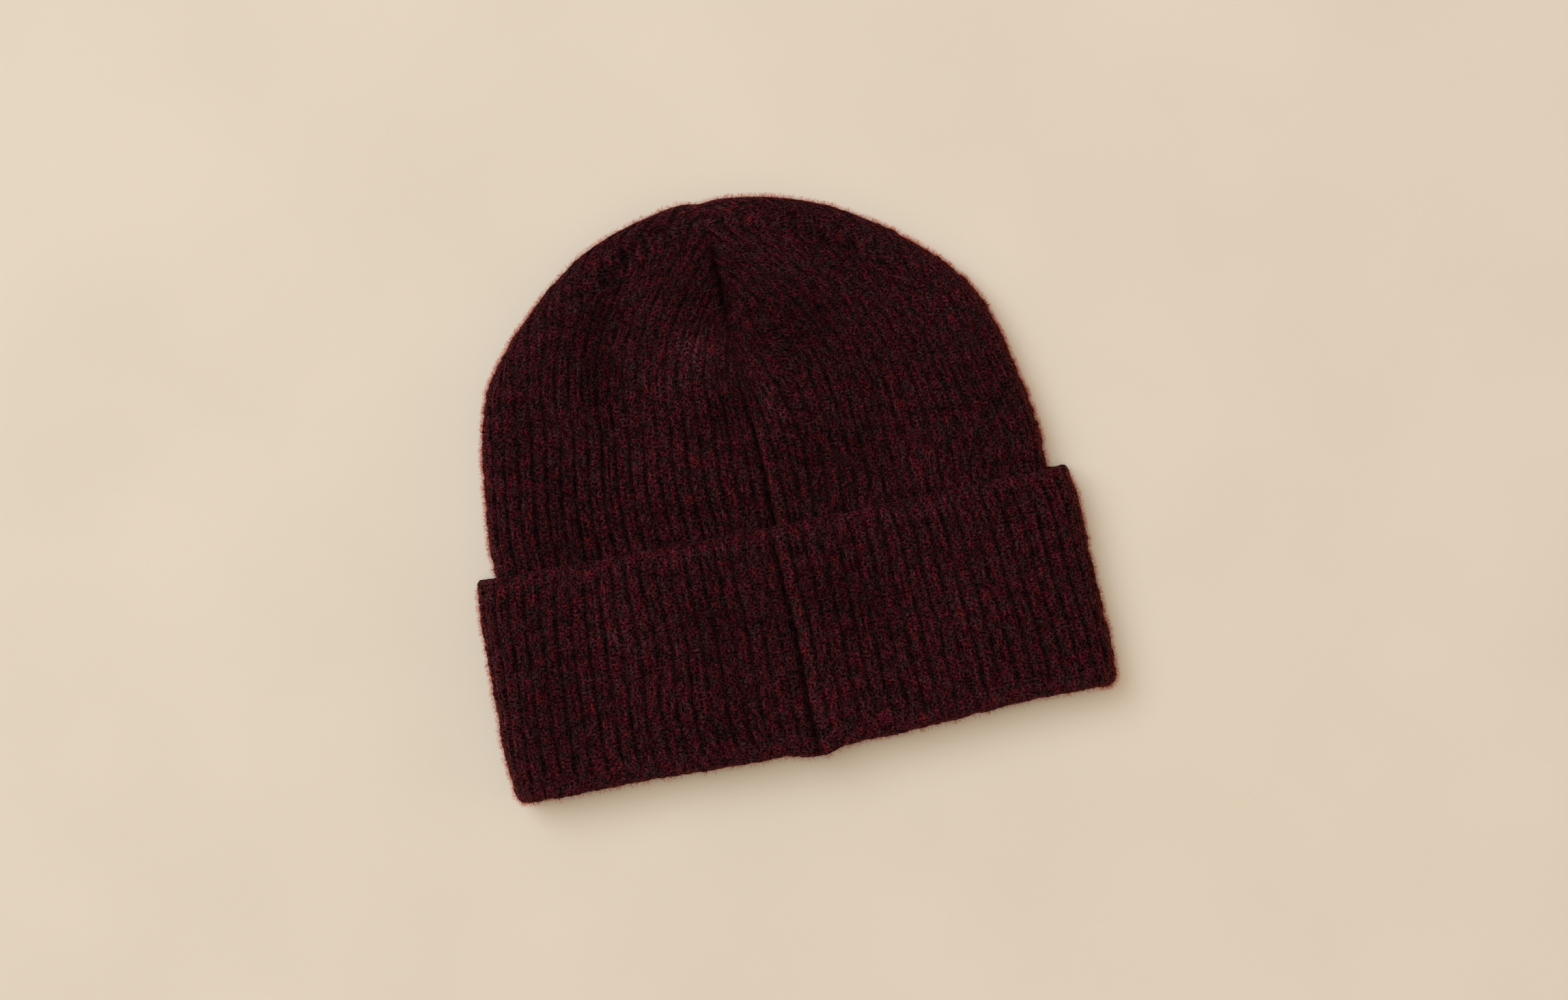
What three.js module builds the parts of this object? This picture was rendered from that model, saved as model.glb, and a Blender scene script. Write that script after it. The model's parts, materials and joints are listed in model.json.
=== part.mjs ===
// A rib-knit beanie with a turned-up cuff, lying flat with its closing seam upwards.
//
// The hat is a knitted bag. Its lower end is turned up outside as a cuff, and its top is drawn
// together by four darts: one up the middle of each flat side and one along each side edge.
// The ribs run straight up from the fold and lean into the darts near the top.
//
// Millimetres. x runs across the hat, y from the fold at the mouth to the tip, z up from the
// surface that it lies on. The group at the end moves the origin to the bottom centre.

import * as THREE from 'three';

// ---- Knit ----
const RIBS = 80;               // ribs round the hat
const CROWN_KNIT = 3.2;        // thickness of the crown's knit, from the ridges to its inside
const CUFF_KNIT = 3.4;         // thickness of the cuff's knit
const RIB_DEPTH = 1.1;         // depth of the valley between two ribs
const SEAM_DEPTH = 0.7;        // how much deeper the seam and the darts lie than a valley
const CLEARANCE = 0.8;         // between the inside of the cuff and the crown
const GAP = 0.55;              // between the crown's lower edge and the lip of the fold

// ---- Height, from the fold up ----
const HEIGHT = 202.2;          // to the tip
const CUFF_TOP = 82;           // to the cuff's edge, in the middle
const CUFF_TOP_RISE = 1.6;     // how much higher that edge is at the sides
const HEM_RISE = 1.5;          // how much higher the fold is at the sides
const HEM_DROP = 2.4;          // how far the seam pushes the fold down
const HEM_DROP_WIDTH = 7;      // half the width of that bulge
const HALF_WIDTH = 110;        // from the middle line to a side edge, roughly
const FOLD_RADIUS = (CUFF_KNIT + CLEARANCE + CROWN_KNIT) / 2;
const LIP = FOLD_RADIUS + 0.4; // height of the lip on which the crown's lower edge stands
const CROWN_FOOT = LIP + GAP;

// ---- Darts ----
const DART_START = 129.3;      // height at which the darts begin
const DART_BEND = 0.00638;     // how fast the ribs bend over above that, per mm
const DART_BEND_LENGTH = 50;   // after this stretch they go on leaning at the same slope
const DART_EASE = 1.4;         // how much less a rib at the side leans than one in the middle
const TIP_RIB = 0.4;           // which rib ends at the tip, from 0, the middle, to 1, the side
const TIP_ROUND = 12;          // length over which the thickness closes at the tip
const SIDE_DART_DEPTH = 0.3;   // how deep the darts along the side edges lie

// ---- Sections of the hat as it lies, each a flattened ring ----
// y: height; seam: x of the middle line; left, right: reach from it to each side edge;
// side: z of the side edges; upper, lower: from there to the top and to the underside;
// rise: how much higher the top is in the middle; edge: how far in the rounded side reaches.
const CUFF_SECTIONS = [
  { y: 3.5, seam: -0.8, left: 111.0, right: 110.4, side: 11.6, upper: 11.3, lower: 11.6, rise: 1.2, edge: 11.4 },
  { y: 18, seam: -1.3, left: 111.7, right: 111.3, side: 12.0, upper: 12.0, lower: 12.0, rise: 2.0, edge: 12.0 },
  { y: 45, seam: -1.2, left: 111.6, right: 110.5, side: 12.2, upper: 12.2, lower: 12.2, rise: 2.4, edge: 12.2 },
  { y: 68, seam: -2.4, left: 109.6, right: 111.1, side: 12.2, upper: 12.2, lower: 12.2, rise: 2.4, edge: 12.2 },
  { y: 84, seam: -3.1, left: 106.8, right: 109.1, side: 11.9, upper: 11.7, lower: 11.9, rise: 2.2, edge: 11.8 },
];
const CROWN_SECTIONS = [
  { y: 96, seam: -0.9, left: 102.5, right: 100.2, side: 11.1, upper: 9.9, lower: 10.9, rise: 2.4, edge: 10.2 },
  { y: 110, seam: -1.0, left: 101.1, right: 98.7, side: 10.6, upper: 10.4, lower: 10.6, rise: 2.6, edge: 10.6 },
  { y: 124, seam: -0.4, left: 100.2, right: 95.3, side: 10.4, upper: 10.4, lower: 10.4, rise: 2.4, edge: 11 },
  { y: 138, seam: -1.9, left: 95.9, right: 94.0, side: 10.2, upper: 10.1, lower: 10.2, rise: 2.0, edge: 12 },
  { y: 152, seam: -3.3, left: 89.0, right: 89.3, side: 9.8, upper: 9.6, lower: 9.8, rise: 1.6, edge: 14 },
  { y: 166, seam: -3.5, left: 77.9, right: 78.4, side: 9.2, upper: 8.8, lower: 9.2, rise: 1.0, edge: 18 },
  { y: 180, seam: -3.9, left: 63.0, right: 63.3, side: 8.4, upper: 7.8, lower: 8.4, rise: 0.5, edge: 26 },
  { y: 192, seam: -5.0, left: 43.6, right: 44.8, side: 7.6, upper: 6.9, lower: 7.4, rise: 0.2, edge: 38 },
  { y: HEIGHT, seam: -5.4, left: 0, right: 0, side: 7.0, upper: 6.4, lower: 6.6, rise: 0, edge: 50 },
];
// Inside the cuff the crown follows it. room: how far apart they stand at the side edges.
const CROWN_IN_CUFF = [
  { y: 3.5, seam: -0.8, room: 1.0 },
  { y: 18, seam: -1.3, room: 3.0 },
  { y: 45, seam: -1.2, room: 5.2 },
  { y: 68, seam: -1.2, room: 4.6 },
  { y: 84, seam: -0.8, room: 2.6 },
];

// ---- Soft dents and bumps of the upper side ----
// x, y: middle; across, along: half widths; height: positive for a bump.
const DENTS = [
  { x: -14, y: 148, across: 12, along: 7, height: 1.3 },
  { x: -9, y: 167, across: 9, along: 12, height: -1.5 },
  { x: 22, y: 153, across: 13, along: 10, height: -1.1 },
  { x: 8, y: 172, across: 9, along: 10, height: 0.8 },
  { x: -52, y: 118, across: 26, along: 14, height: 0.7 },
  { x: 58, y: 112, across: 24, along: 16, height: -0.6 },
];
const DENT_FADE = 6;           // height over the side edges at which a dent has its full depth

// ---- Fineness of the faceted solids ----
const COLUMNS = 2 * RIBS;      // round the hat, by turns a valley and a ridge
const QUARTER = COLUMNS / 4;
const PLAIN_STEP = 2;          // the plain insides have one column for every two of these
const STRAIGHT_ROWS = [20, 45, 76, 86, 97, 108, 120];
const DART_ROWS = [0.15, 0.32, 0.5, 0.66, 0.8, 0.9, 0.965, 1];
const INSIDE_ROWS = [0, 2, 4, 6, 8, 10, 12, 13, 14, 15];
const CUFF_ROWS = [22, 45, 66];
const FOLD_STEPS = 4;
const REST_HEIGHT = 3;         // ribs lower than this are pressed flat by the hat's weight

// The value of a column of a table at height y, on a smooth curve through its rows.
function along(rows, y, value) {
  const above = rows.findIndex((row) => row.y > y);
  const i = above < 0 ? rows.length - 2 : Math.max(0, above - 1);
  const slope = (a, b) => (value(rows[b]) - value(rows[a])) / (rows[b].y - rows[a].y);
  const step = rows[i + 1].y - rows[i].y;
  const t = THREE.MathUtils.clamp((y - rows[i].y) / step, 0, 1);
  const start = i > 0 ? slope(i - 1, i + 1) : slope(i, i + 1);
  const end = i < rows.length - 2 ? slope(i, i + 2) : slope(i, i + 1);
  return value(rows[i]) * (1 + 2 * t) * (1 - t) ** 2
    + value(rows[i + 1]) * t * t * (3 - 2 * t)
    + step * t * (1 - t) * (start * (1 - t) - end * t);
}

// The flattened ring at height y. A reach is found through its square, so the outline is round
// at the tip, and the thickness closes there along a quarter circle.
function sectionAt(rows, y) {
  const reach = (key) => Math.sqrt(Math.max(0, along(rows, y, (row) => row[key] ** 2)));
  const toTip = Math.min(1, Math.max(0, HEIGHT - y) / TIP_ROUND);
  const closing = Math.sqrt(1 - (1 - toTip) ** 2);
  return {
    seam: along(rows, y, (row) => row.seam),
    left: reach('left'),
    right: reach('right'),
    side: along(rows, y, (row) => row.side),
    upper: along(rows, y, (row) => row.upper) * closing,
    lower: along(rows, y, (row) => row.lower) * closing,
    rise: along(rows, y, (row) => row.rise) * closing,
    edge: along(rows, y, (row) => row.edge),
  };
}

// A quarter of a ring is a straight stretch from the middle line and a quarter ellipse.
function quarterLengths(reach, height, edge) {
  const across = Math.min(edge, reach);
  const root = Math.sqrt((3 * across + height) * (across + 3 * height));
  return { across, straight: reach - across, arc: Math.PI / 4 * (3 * (across + height) - root) };
}

// A point of a ring and its outward normal in the ring's plane, for the place of a column:
// toSide is -1 or 1, up is -1 or 1, and part runs from 0, the middle line, to 1, the side edge.
function ringPoint(section, { toSide, up }, part) {
  const reach = toSide < 0 ? section.left : section.right;
  const height = up < 0 ? section.lower : section.upper;
  const { across, straight, arc } = quarterLengths(reach, height, section.edge);
  const length = part * (straight + arc);
  let x = length;
  let z = height;
  const normal = new THREE.Vector2(0, 1);
  if (length < straight) {
    const turn = Math.PI * length / straight;
    const rise = up < 0 ? 0 : section.rise;
    z += rise * (1 + Math.cos(turn)) / 2;
    normal.set(rise * Math.PI * Math.sin(turn) / (2 * straight), 1).normalize();
  } else if (arc > 0) {
    const angle = Math.PI / 2 * (length - straight) / arc;
    x = straight + across * Math.sin(angle);
    z = height * Math.cos(angle);
    normal.set(Math.sin(angle) * height, Math.cos(angle) * across).normalize();
  }
  return {
    x: section.seam + toSide * x,
    z: Math.max(0, section.side + up * z),
    nx: toSide * normal.x,
    nz: up * normal.y,
  };
}

// Where a column lies: from the middle of the upper side to the right, round underneath and back.
function columnPlace(index) {
  const turn = ((index % COLUMNS) + COLUMNS) % COLUMNS;
  const toSide = turn <= 2 * QUARTER ? 1 : -1;
  const up = turn <= QUARTER || turn >= 3 * QUARTER ? 1 : -1;
  const fromTop = toSide > 0 ? turn : COLUMNS - turn;
  return { toSide, up, rib: (up > 0 ? fromTop : 2 * QUARTER - fromTop) / QUARTER };
}

const isValley = (index) => index % 2 === 0;

// How far the fold is bent up or down at a column. Only the upper side has the seam's bulge.
function hemShift({ rib, up }) {
  const bulge = up > 0 ? HEM_DROP * Math.exp(-((rib * HALF_WIDTH / HEM_DROP_WIDTH) ** 2)) : 0;
  return HEM_RISE * rib ** 2 - bulge;
}

// What is left of that at height y, plus the cuff's share of the rise of its edge.
const crownShift = (place, y) => hemShift(place) * Math.max(0, 1 - y / CUFF_TOP);
const cuffShift = (place, y) => crownShift(place, y) + CUFF_TOP_RISE * place.rib ** 2 * y / CUFF_TOP;

// ---- Meshes ----

// Collects faces between shared points. Points at the same place become one.
class Skin {
  constructor() {
    this.points = [];
    this.faces = [];
    this.known = new Map();
  }

  add(x, y, z) {
    const key = [x, y, z].map((value) => Math.round(value * 1e4)).join();
    if (!this.known.has(key)) {
      this.known.set(key, this.points.length);
      this.points.push(new THREE.Vector3(x, y, z));
    }
    return this.known.get(key);
  }

  triangle(a, b, c) {
    if (a !== b && b !== c && c !== a) this.faces.push(a, b, c);
  }

  // Faces between two rings of equally many points, the second one further along.
  band(first, second) {
    first.forEach((point, i) => {
      const j = (i + 1) % first.length;
      this.triangle(point, first[j], second[j]);
      this.triangle(point, second[j], second[i]);
    });
  }

  // Faces from a ring of ribs to a plain ring that has every second column of it, or back.
  ribsToPlain(ribs, plain, back = false) {
    plain.forEach((point, i) => {
      const next = plain[(i + 1) % plain.length];
      const [a, b, c] = [0, 1, 2].map((k) => ribs[(PLAIN_STEP * i + k) % ribs.length]);
      const fan = [[a, b, point], [b, next, point], [b, c, next]];
      fan.forEach(([p, q, r]) => (back ? this.triangle(p, r, q) : this.triangle(p, q, r)));
    });
  }

  geometry() {
    const geometry = new THREE.BufferGeometry().setFromPoints(this.points);
    geometry.setIndex(this.faces);
    geometry.computeVertexNormals();
    return geometry;
  }
}

const allColumns = Array.from({ length: COLUMNS }, (_, index) => index);
const plainColumns = allColumns.filter((index) => index % PLAIN_STEP === 0);

// Depth of a column under the ridges' level, less where the hat's weight presses the ribs flat.
function ribDepth(index, z) {
  const free = THREE.MathUtils.smoothstep(z, 0, REST_HEIGHT);
  if (index === 0) return (RIB_DEPTH + SEAM_DEPTH) * free;
  return isValley(index) ? RIB_DEPTH * free : 0;
}

// The same where a rib ends: deep in a middle dart, and shallow on the side edges.
function dartDepth(index, z) {
  const free = THREE.MathUtils.smoothstep(z, 0, REST_HEIGHT);
  const isMiddle = columnPlace(index).rib < TIP_RIB;
  return (isMiddle ? RIB_DEPTH + SEAM_DEPTH : SIDE_DART_DEPTH) * free;
}

// ---- Crown ----

const crownInCuff = CROWN_IN_CUFF.map(({ y, seam, room }) => {
  const cuff = sectionAt(CUFF_SECTIONS, y);
  const inwards = CUFF_KNIT + CLEARANCE;
  return {
    y,
    seam,
    left: cuff.left - cuff.seam + seam - inwards - room,
    right: cuff.right + cuff.seam - seam - inwards - room,
    side: cuff.side,
    upper: cuff.upper - inwards,
    lower: cuff.lower - inwards,
    rise: cuff.rise,
    edge: cuff.edge - inwards,
  };
});
const crownRows = [...crownInCuff, ...CROWN_SECTIONS];

// Length round an average quarter of the crown, from the middle line to the side edge.
function crownQuarter(y) {
  const section = sectionAt(crownRows, y);
  const reach = (section.left + section.right) / 2;
  const { straight, arc } = quarterLengths(reach, section.upper, section.edge);
  return straight + arc;
}

// How far a rib has moved towards the middle dart at height y, before the ease at the sides.
function lean(y) {
  const past = Math.max(0, y - DART_START);
  if (past < DART_BEND_LENGTH) return DART_BEND * past ** 2;
  return DART_BEND * DART_BEND_LENGTH * (2 * past - DART_BEND_LENGTH);
}

const QUARTER_AT_START = crownQuarter(DART_START);
// The lean of the middle rib that lets TIP_RIB end exactly at the tip.
const LEAN = TIP_RIB * QUARTER_AT_START / lean(HEIGHT) + DART_EASE * TIP_RIB;

// Distance of a rib from the middle line at height y, measured round the crown.
const ribDistance = (rib, y) => rib * QUARTER_AT_START - lean(y) * (LEAN - DART_EASE * rib);

// The height at which a rib runs into the middle dart or over the side dart.
function ribEnd(rib) {
  if (rib === TIP_RIB) return HEIGHT;
  let low = DART_START;
  let high = HEIGHT;
  for (let i = 0; i < 40; i += 1) {
    const y = (low + high) / 2;
    const distance = ribDistance(rib, y);
    if (distance > 0 && distance < crownQuarter(y)) low = y;
    else high = y;
  }
  return high;
}

function crownHeights(rib) {
  const last = STRAIGHT_ROWS[STRAIGHT_ROWS.length - 1];
  const end = ribEnd(rib);
  return [CROWN_FOOT, ...STRAIGHT_ROWS, ...DART_ROWS.map((part) => last + part * (end - last))];
}

function dentHeight(x, y) {
  return DENTS.reduce((sum, dent) => {
    const away = ((x - dent.x) / dent.across) ** 2 + ((y - dent.y) / dent.along) ** 2;
    return sum + dent.height * Math.exp(-away);
  }, 0);
}

// A point of the smooth crown, without ribs.
function crownPoint(index, y, isEnd) {
  const place = columnPlace(index);
  let part = place.rib;
  if (y > DART_START) part = ribDistance(place.rib, y) / Math.max(crownQuarter(y), 1e-6);
  if (isEnd) part = place.rib > TIP_RIB ? 1 : 0;
  const section = sectionAt(crownRows, y);
  const point = ringPoint(section, place, THREE.MathUtils.clamp(part, 0, 1));
  const lift = place.up > 0 ? THREE.MathUtils.clamp((point.z - section.side) / DENT_FADE, 0, 1) : 0;
  const dent = dentHeight(point.x, y) * lift;
  return new THREE.Vector3(point.x, y + crownShift(place, y), point.z + dent);
}

function crown() {
  const heights = allColumns.map((index) => crownHeights(columnPlace(index).rib));
  const last = heights[0].length - 1;
  const smooth = new Skin();
  const rings = heights[0].map((_, row) => allColumns.map((index) => {
    const point = crownPoint(index, heights[index][row], row === last);
    return smooth.add(point.x, point.y, point.z);
  }));
  for (let row = 0; row < last; row += 1) smooth.band(rings[row], rings[row + 1]);
  const normals = smooth.geometry().getAttribute('normal');

  const skin = new Skin();
  const offset = (index, row, depth) => {
    const id = rings[row][index];
    const normal = new THREE.Vector3().fromBufferAttribute(normals, id);
    if (row === 0) normal.setY(0).normalize();
    const point = smooth.points[id].clone().addScaledVector(normal, -depth);
    return skin.add(point.x, point.y, point.z);
  };
  const depthAt = (index, row) => {
    const { z } = smooth.points[rings[row][index]];
    return row === last ? dartDepth(index, z) : ribDepth(index, z);
  };
  const outside = rings.map((_, row) => allColumns.map((index) => (
    offset(index, row, depthAt(index, row)))));
  const inside = INSIDE_ROWS.map((row) => plainColumns.map((index) => (
    offset(index, row, CROWN_KNIT))));
  for (let row = 0; row < last; row += 1) skin.band(outside[row], outside[row + 1]);
  for (let row = 0; row < inside.length - 1; row += 1) skin.band(inside[row + 1], inside[row]);
  skin.ribsToPlain(outside[0], inside[0], true);
  return skin.geometry();
}

// ---- Cuff ----

// A ring of the cuff at a depth under its outer surface.
function cuffRing(skin, columns, y, depth, ribShare = 0) {
  const section = sectionAt(CUFF_SECTIONS, Math.max(y, FOLD_RADIUS));
  return columns.map((index) => {
    const place = columnPlace(index);
    const point = ringPoint(section, place, place.rib);
    const total = depth + ribShare * ribDepth(index, point.z + depth);
    return skin.add(
      point.x - total * point.nx,
      y + cuffShift(place, y),
      point.z - total * point.nz,
    );
  });
}

function cuff() {
  const skin = new Skin();
  const fold = Array.from({ length: FOLD_STEPS + 1 }, (_, i) => {
    const angle = Math.PI * (1 - i / FOLD_STEPS);
    return {
      y: FOLD_RADIUS * (1 - Math.sin(angle)),
      depth: FOLD_RADIUS * (1 - Math.cos(angle)),
      ribs: Math.max(0, Math.cos(angle)),
    };
  });
  const wall = CUFF_ROWS.map((y) => ({ y, depth: 0, ribs: 1 }));
  const edge = [
    { y: CUFF_TOP - 1.6, depth: 0, ribs: 0.7 },
    { y: CUFF_TOP - 0.5, depth: 0.5, ribs: 0.4 },
    { y: CUFF_TOP, depth: CUFF_KNIT / 2, ribs: 0 },
  ];
  const back = [
    { y: CUFF_TOP - 0.5, depth: CUFF_KNIT - 0.5 },
    { y: CUFF_TOP - 1.6, depth: CUFF_KNIT },
    ...CUFF_ROWS.toReversed().map((y) => ({ y, depth: CUFF_KNIT })),
    { y: LIP, depth: CUFF_KNIT },
    { y: LIP, depth: 2 * FOLD_RADIUS },
  ];
  const ribbed = [...fold, ...wall, ...edge].map(({ y, depth, ribs }) => (
    cuffRing(skin, allColumns, y, depth, ribs)));
  const plain = back.map(({ y, depth }) => cuffRing(skin, plainColumns, y, depth));
  for (let i = 0; i < ribbed.length - 1; i += 1) skin.band(ribbed[i], ribbed[i + 1]);
  for (let i = 0; i < plain.length - 1; i += 1) skin.band(plain[i], plain[i + 1]);
  skin.ribsToPlain(ribbed[ribbed.length - 1], plain[0]);
  skin.ribsToPlain(ribbed[0], plain[plain.length - 1], true);
  return skin.geometry();
}

// ---- The hat ----

const wool = (color) => new THREE.MeshStandardMaterial({ color, roughness: 0.95, metalness: 0 });

function piece(name, geometry, color) {
  const mesh = new THREE.Mesh(geometry, wool(color));
  mesh.name = name;
  return mesh;
}

const group = new THREE.Group();
group.add(piece('crown', crown(), 0x2e1013));
group.add(piece('cuff', cuff(), 0x331216));
const box = new THREE.Box3().setFromObject(group);
const centre = box.getCenter(new THREE.Vector3());
group.position.set(-centre.x, -centre.y, -box.min.z);

export default group;
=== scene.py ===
"""A rib-knit wool beanie with a turned-up cuff, lying flat with its closing seam upwards.

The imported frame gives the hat's place. Two knitted pieces are worked out here around it, the
crown and the cuff, each as one closed wall with ribs and stitches, and loose wool fibres stand
on both. Sizes are in millimetres unless a name says otherwise, and a mesh is made in metres.
x runs across the hat, y from the fold at the mouth to the tip, z up.
"""

from __future__ import annotations

import json
import logging
import math
from collections.abc import Callable
from dataclasses import dataclass, field, fields
from enum import Enum
from functools import partial

import bpy
import numpy as np
from mathutils import Matrix, Vector

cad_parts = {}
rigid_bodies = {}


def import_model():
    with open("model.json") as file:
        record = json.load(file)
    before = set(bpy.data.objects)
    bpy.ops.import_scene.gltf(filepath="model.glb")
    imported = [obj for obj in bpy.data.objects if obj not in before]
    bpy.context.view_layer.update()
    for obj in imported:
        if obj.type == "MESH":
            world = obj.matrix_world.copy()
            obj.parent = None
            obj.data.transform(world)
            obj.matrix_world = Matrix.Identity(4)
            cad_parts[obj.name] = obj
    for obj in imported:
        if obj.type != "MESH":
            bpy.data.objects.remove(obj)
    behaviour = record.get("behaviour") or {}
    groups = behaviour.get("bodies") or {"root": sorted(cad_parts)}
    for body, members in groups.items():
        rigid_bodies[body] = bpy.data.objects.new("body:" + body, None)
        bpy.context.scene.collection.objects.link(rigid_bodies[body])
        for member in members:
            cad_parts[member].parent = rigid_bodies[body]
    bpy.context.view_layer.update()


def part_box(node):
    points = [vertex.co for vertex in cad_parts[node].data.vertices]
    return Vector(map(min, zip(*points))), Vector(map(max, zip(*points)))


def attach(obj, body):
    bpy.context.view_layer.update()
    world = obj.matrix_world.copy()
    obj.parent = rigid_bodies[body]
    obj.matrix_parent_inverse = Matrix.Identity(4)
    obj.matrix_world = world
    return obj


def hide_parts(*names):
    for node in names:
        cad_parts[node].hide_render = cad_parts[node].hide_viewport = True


LOG = logging.getLogger("beanie")
MM = 0.001
TINY = 1e-9
Array = np.ndarray
Socket = bpy.types.NodeSocket
NodeAdder = Callable[..., Socket]


# ---------------------------------------------------------------- Curves


@dataclass(frozen=True)
class Bell:
    """A bell curve, by its middle, its half width and its height there."""

    middle: float
    width: float
    height: float = 1.0

    def at(self, place: Array) -> Array:
        """The height, times e to the power of minus the square of the distance over the width."""
        return self.height * np.exp(-(((place - self.middle) / self.width) ** 2))


def ramp(value: Array, start: float, end: float) -> Array:
    """A smooth rise: 0 up to start, 1 from end on, and 3t squared less 2t cubed between.

    Args:
        value: where, of any shape.
        start, end: where the rise starts and ends. With end below start it goes the other way.
    Returns:
        The rise in the shape of value.
    """
    t = np.clip((value - start) / (end - start), 0, 1)
    return t * t * (3 - 2 * t)


def unit(vectors: Array) -> Array:
    """The vectors, each made one long."""
    return vectors / np.maximum(np.linalg.norm(vectors, axis=-1, keepdims=True), TINY)


def lattice_noise(u: Array, v: Array, seed: int) -> Array:
    """Smooth random values from -1 to 1 over a plane, one free value in each unit cell.

    Random values at whole coordinates are blended with the smooth step 3t squared less 2t
    cubed. The pattern repeats after a few hundred cells.

    Args:
        u, v: coordinates in cells.
        seed: which pattern.
    Returns:
        Values in the shape of u and v.
    """
    size = 509
    table = np.random.default_rng(seed).uniform(-1, 1, size)
    i = np.floor(u).astype(np.int64)
    j = np.floor(v).astype(np.int64)
    s = (u - i) ** 2 * (3 - 2 * (u - i))
    t = (v - j) ** 2 * (3 - 2 * (v - j))

    def corner(a: Array, b: Array) -> Array:
        """The random value at a whole coordinate."""
        return table[(a * 73 + b * 151 + (a * b) % 37) % size]

    low = corner(i, j) * (1 - s) + corner(i + 1, j) * s
    high = corner(i, j + 1) * (1 - s) + corner(i + 1, j + 1) * s
    return low * (1 - t) + high * t


def cell_values(i: Array, j: Array, seed: int) -> Array:
    """Random values from 0 to 1, one for each pair of whole numbers.

    Args:
        i, j: the pairs, which may be of a floating type.
        seed: which values.
    Returns:
        Values in the shape of i and j.
    """
    size = 4093
    table = np.random.default_rng(seed).uniform(0, 1, size)
    return table[(i.astype(np.int64) * 157 + j.astype(np.int64) * 311) % size]


# ---------------------------------------------------------------- Knit and its sizes


@dataclass(frozen=True)
class Knit:
    """A rib knit: how thick it is and how its ribs and stitches are made.

    A rib is one column of stitches that stands up, and between two ribs the knit sinks back.
    Each stitch has two legs of yarn, at leg_place of a rib's pitch from its middle, which
    differ by leg_change. uneven is how much the yarn's thickness changes, over uneven_cells to
    a rib and to a stitch, and even_valley how much of a valley it leaves alone. The two painted
    shades say how much shade is painted into a valley and into the space between legs, over the
    shade that the relief casts.
    """

    wall: float
    course: float
    uneven: float = 0.65
    points_up: bool = True
    ribs_round: int = 84
    rib_depth: float = 0.45
    rib_power: float = 1.3
    stitch_height: float = 0.9
    leg_half_length: float = 1.9
    leg_half_width: float = 0.9
    leg_slant: float = math.radians(38)
    leg_place: float = 0.235
    leg_change: float = 0.25
    uneven_cells: tuple[float, float] = (1.6, 1 / 1.8)
    even_valley: float = 0.4
    valley_shade: float = 0.6
    leg_shade: float = 1.05


@dataclass(frozen=True)
class Seam:
    """The closing seam across its ribs: a groove, and the full rib at its right.

    Light is the light painted there, as a natural logarithm, as it is for the patches and
    the free edge: painted shade in the groove and a painted highlight on the ridge.
    """

    groove: Bell = Bell(-0.12, 0.22)
    ridge: Bell = Bell(0.5, 0.32)
    groove_depth: float = 1.2
    groove_light: float = -0.9
    ridge_height: float = 0.3
    ridge_light: float = 0.24


CROWN_KNIT = Knit(wall=3.2, course=2.25)
CUFF_KNIT = Knit(wall=3.4, course=2.0, uneven=0.52, points_up=False)
SEAM = Seam()

ROUND = 450.0
HEIGHT = 202.7
HALF_WIDTH = 110.0
CUFF_TOP = 82.0
CUFF_TOP_RISE = 1.6
HEM_RISE = 1.5
HEM_DROP = Bell(0.0, 7.0, 2.4)
HEM_ARCH_LEFT = Bell(0.56, 0.2, 0.75)
HEM_ARCH_RIGHT = Bell(0.67, 0.28, 2.0)
CLEARANCE = 0.8
FOLD_RADIUS = (CUFF_KNIT.wall + CLEARANCE + CROWN_KNIT.wall) / 2
LIP = FOLD_RADIUS + 0.4
CROWN_FOOT = LIP + 0.15
REST_HEIGHT = 3.0
TIP_ROUND = 12.0


@dataclass(frozen=True)
class Section:
    """A flattened ring of the hat at one height.

    seam is x of the middle line, left and right the reach from it to the side edges, side the
    z of those edges, upper and lower from there to the top and the underside, rise how much
    higher the top is in the middle, and edge how far in the rounded side reaches.
    """

    y: float
    seam: float
    left: float
    right: float
    side: float
    upper: float
    lower: float
    rise: float
    edge: float


CUFF_SECTIONS = (
    Section(3.5, -0.8, 111.0, 110.4, 11.6, 11.3, 11.6, 1.2, 11.4),
    Section(18, -1.3, 111.4, 110.9, 12.0, 12.0, 12.0, 2.0, 12.0),
    Section(45, -1.2, 111.1, 109.9, 12.2, 12.2, 12.2, 2.4, 12.2),
    Section(68, -2.4, 109.4, 110.7, 12.2, 12.2, 12.2, 2.4, 12.2),
    Section(84, -3.1, 107.2, 109.1, 11.9, 11.7, 11.9, 2.2, 11.8),
)
CROWN_SECTIONS = (
    Section(96, -0.9, 102.5, 100.2, 11.1, 9.9, 10.9, 2.4, 10.2),
    Section(110, -1.0, 101.1, 98.7, 10.6, 10.4, 10.6, 2.6, 10.6),
    Section(124, -0.4, 99.9, 95.0, 10.4, 10.4, 10.4, 2.4, 11),
    Section(138, -1.9, 95.5, 93.4, 10.2, 10.1, 10.2, 2.0, 12),
    Section(152, -3.3, 89.0, 89.6, 9.8, 9.6, 9.8, 1.6, 14),
    Section(166, -3.5, 77.9, 78.9, 9.2, 8.8, 9.2, 1.0, 18),
    Section(180, -3.9, 63.0, 63.3, 8.4, 7.8, 8.4, 0.5, 26),
    Section(192, -5.0, 45.0, 45.8, 7.6, 6.9, 7.4, 0.2, 38),
    Section(HEIGHT, -5.4, 0, 0, 7.0, 6.4, 6.6, 0, 50),
)


@dataclass(frozen=True)
class InCuff:
    """Where the crown lies inside the cuff: its middle line, and the room at the side edges."""

    y: float
    seam: float
    room: float


CROWN_IN_CUFF = (
    InCuff(3.5, -0.8, 1.0),
    InCuff(18, -1.3, 3.0),
    InCuff(45, -1.2, 5.2),
    InCuff(68, -1.2, 4.6),
    InCuff(84, -0.8, 2.6),
)


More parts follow.
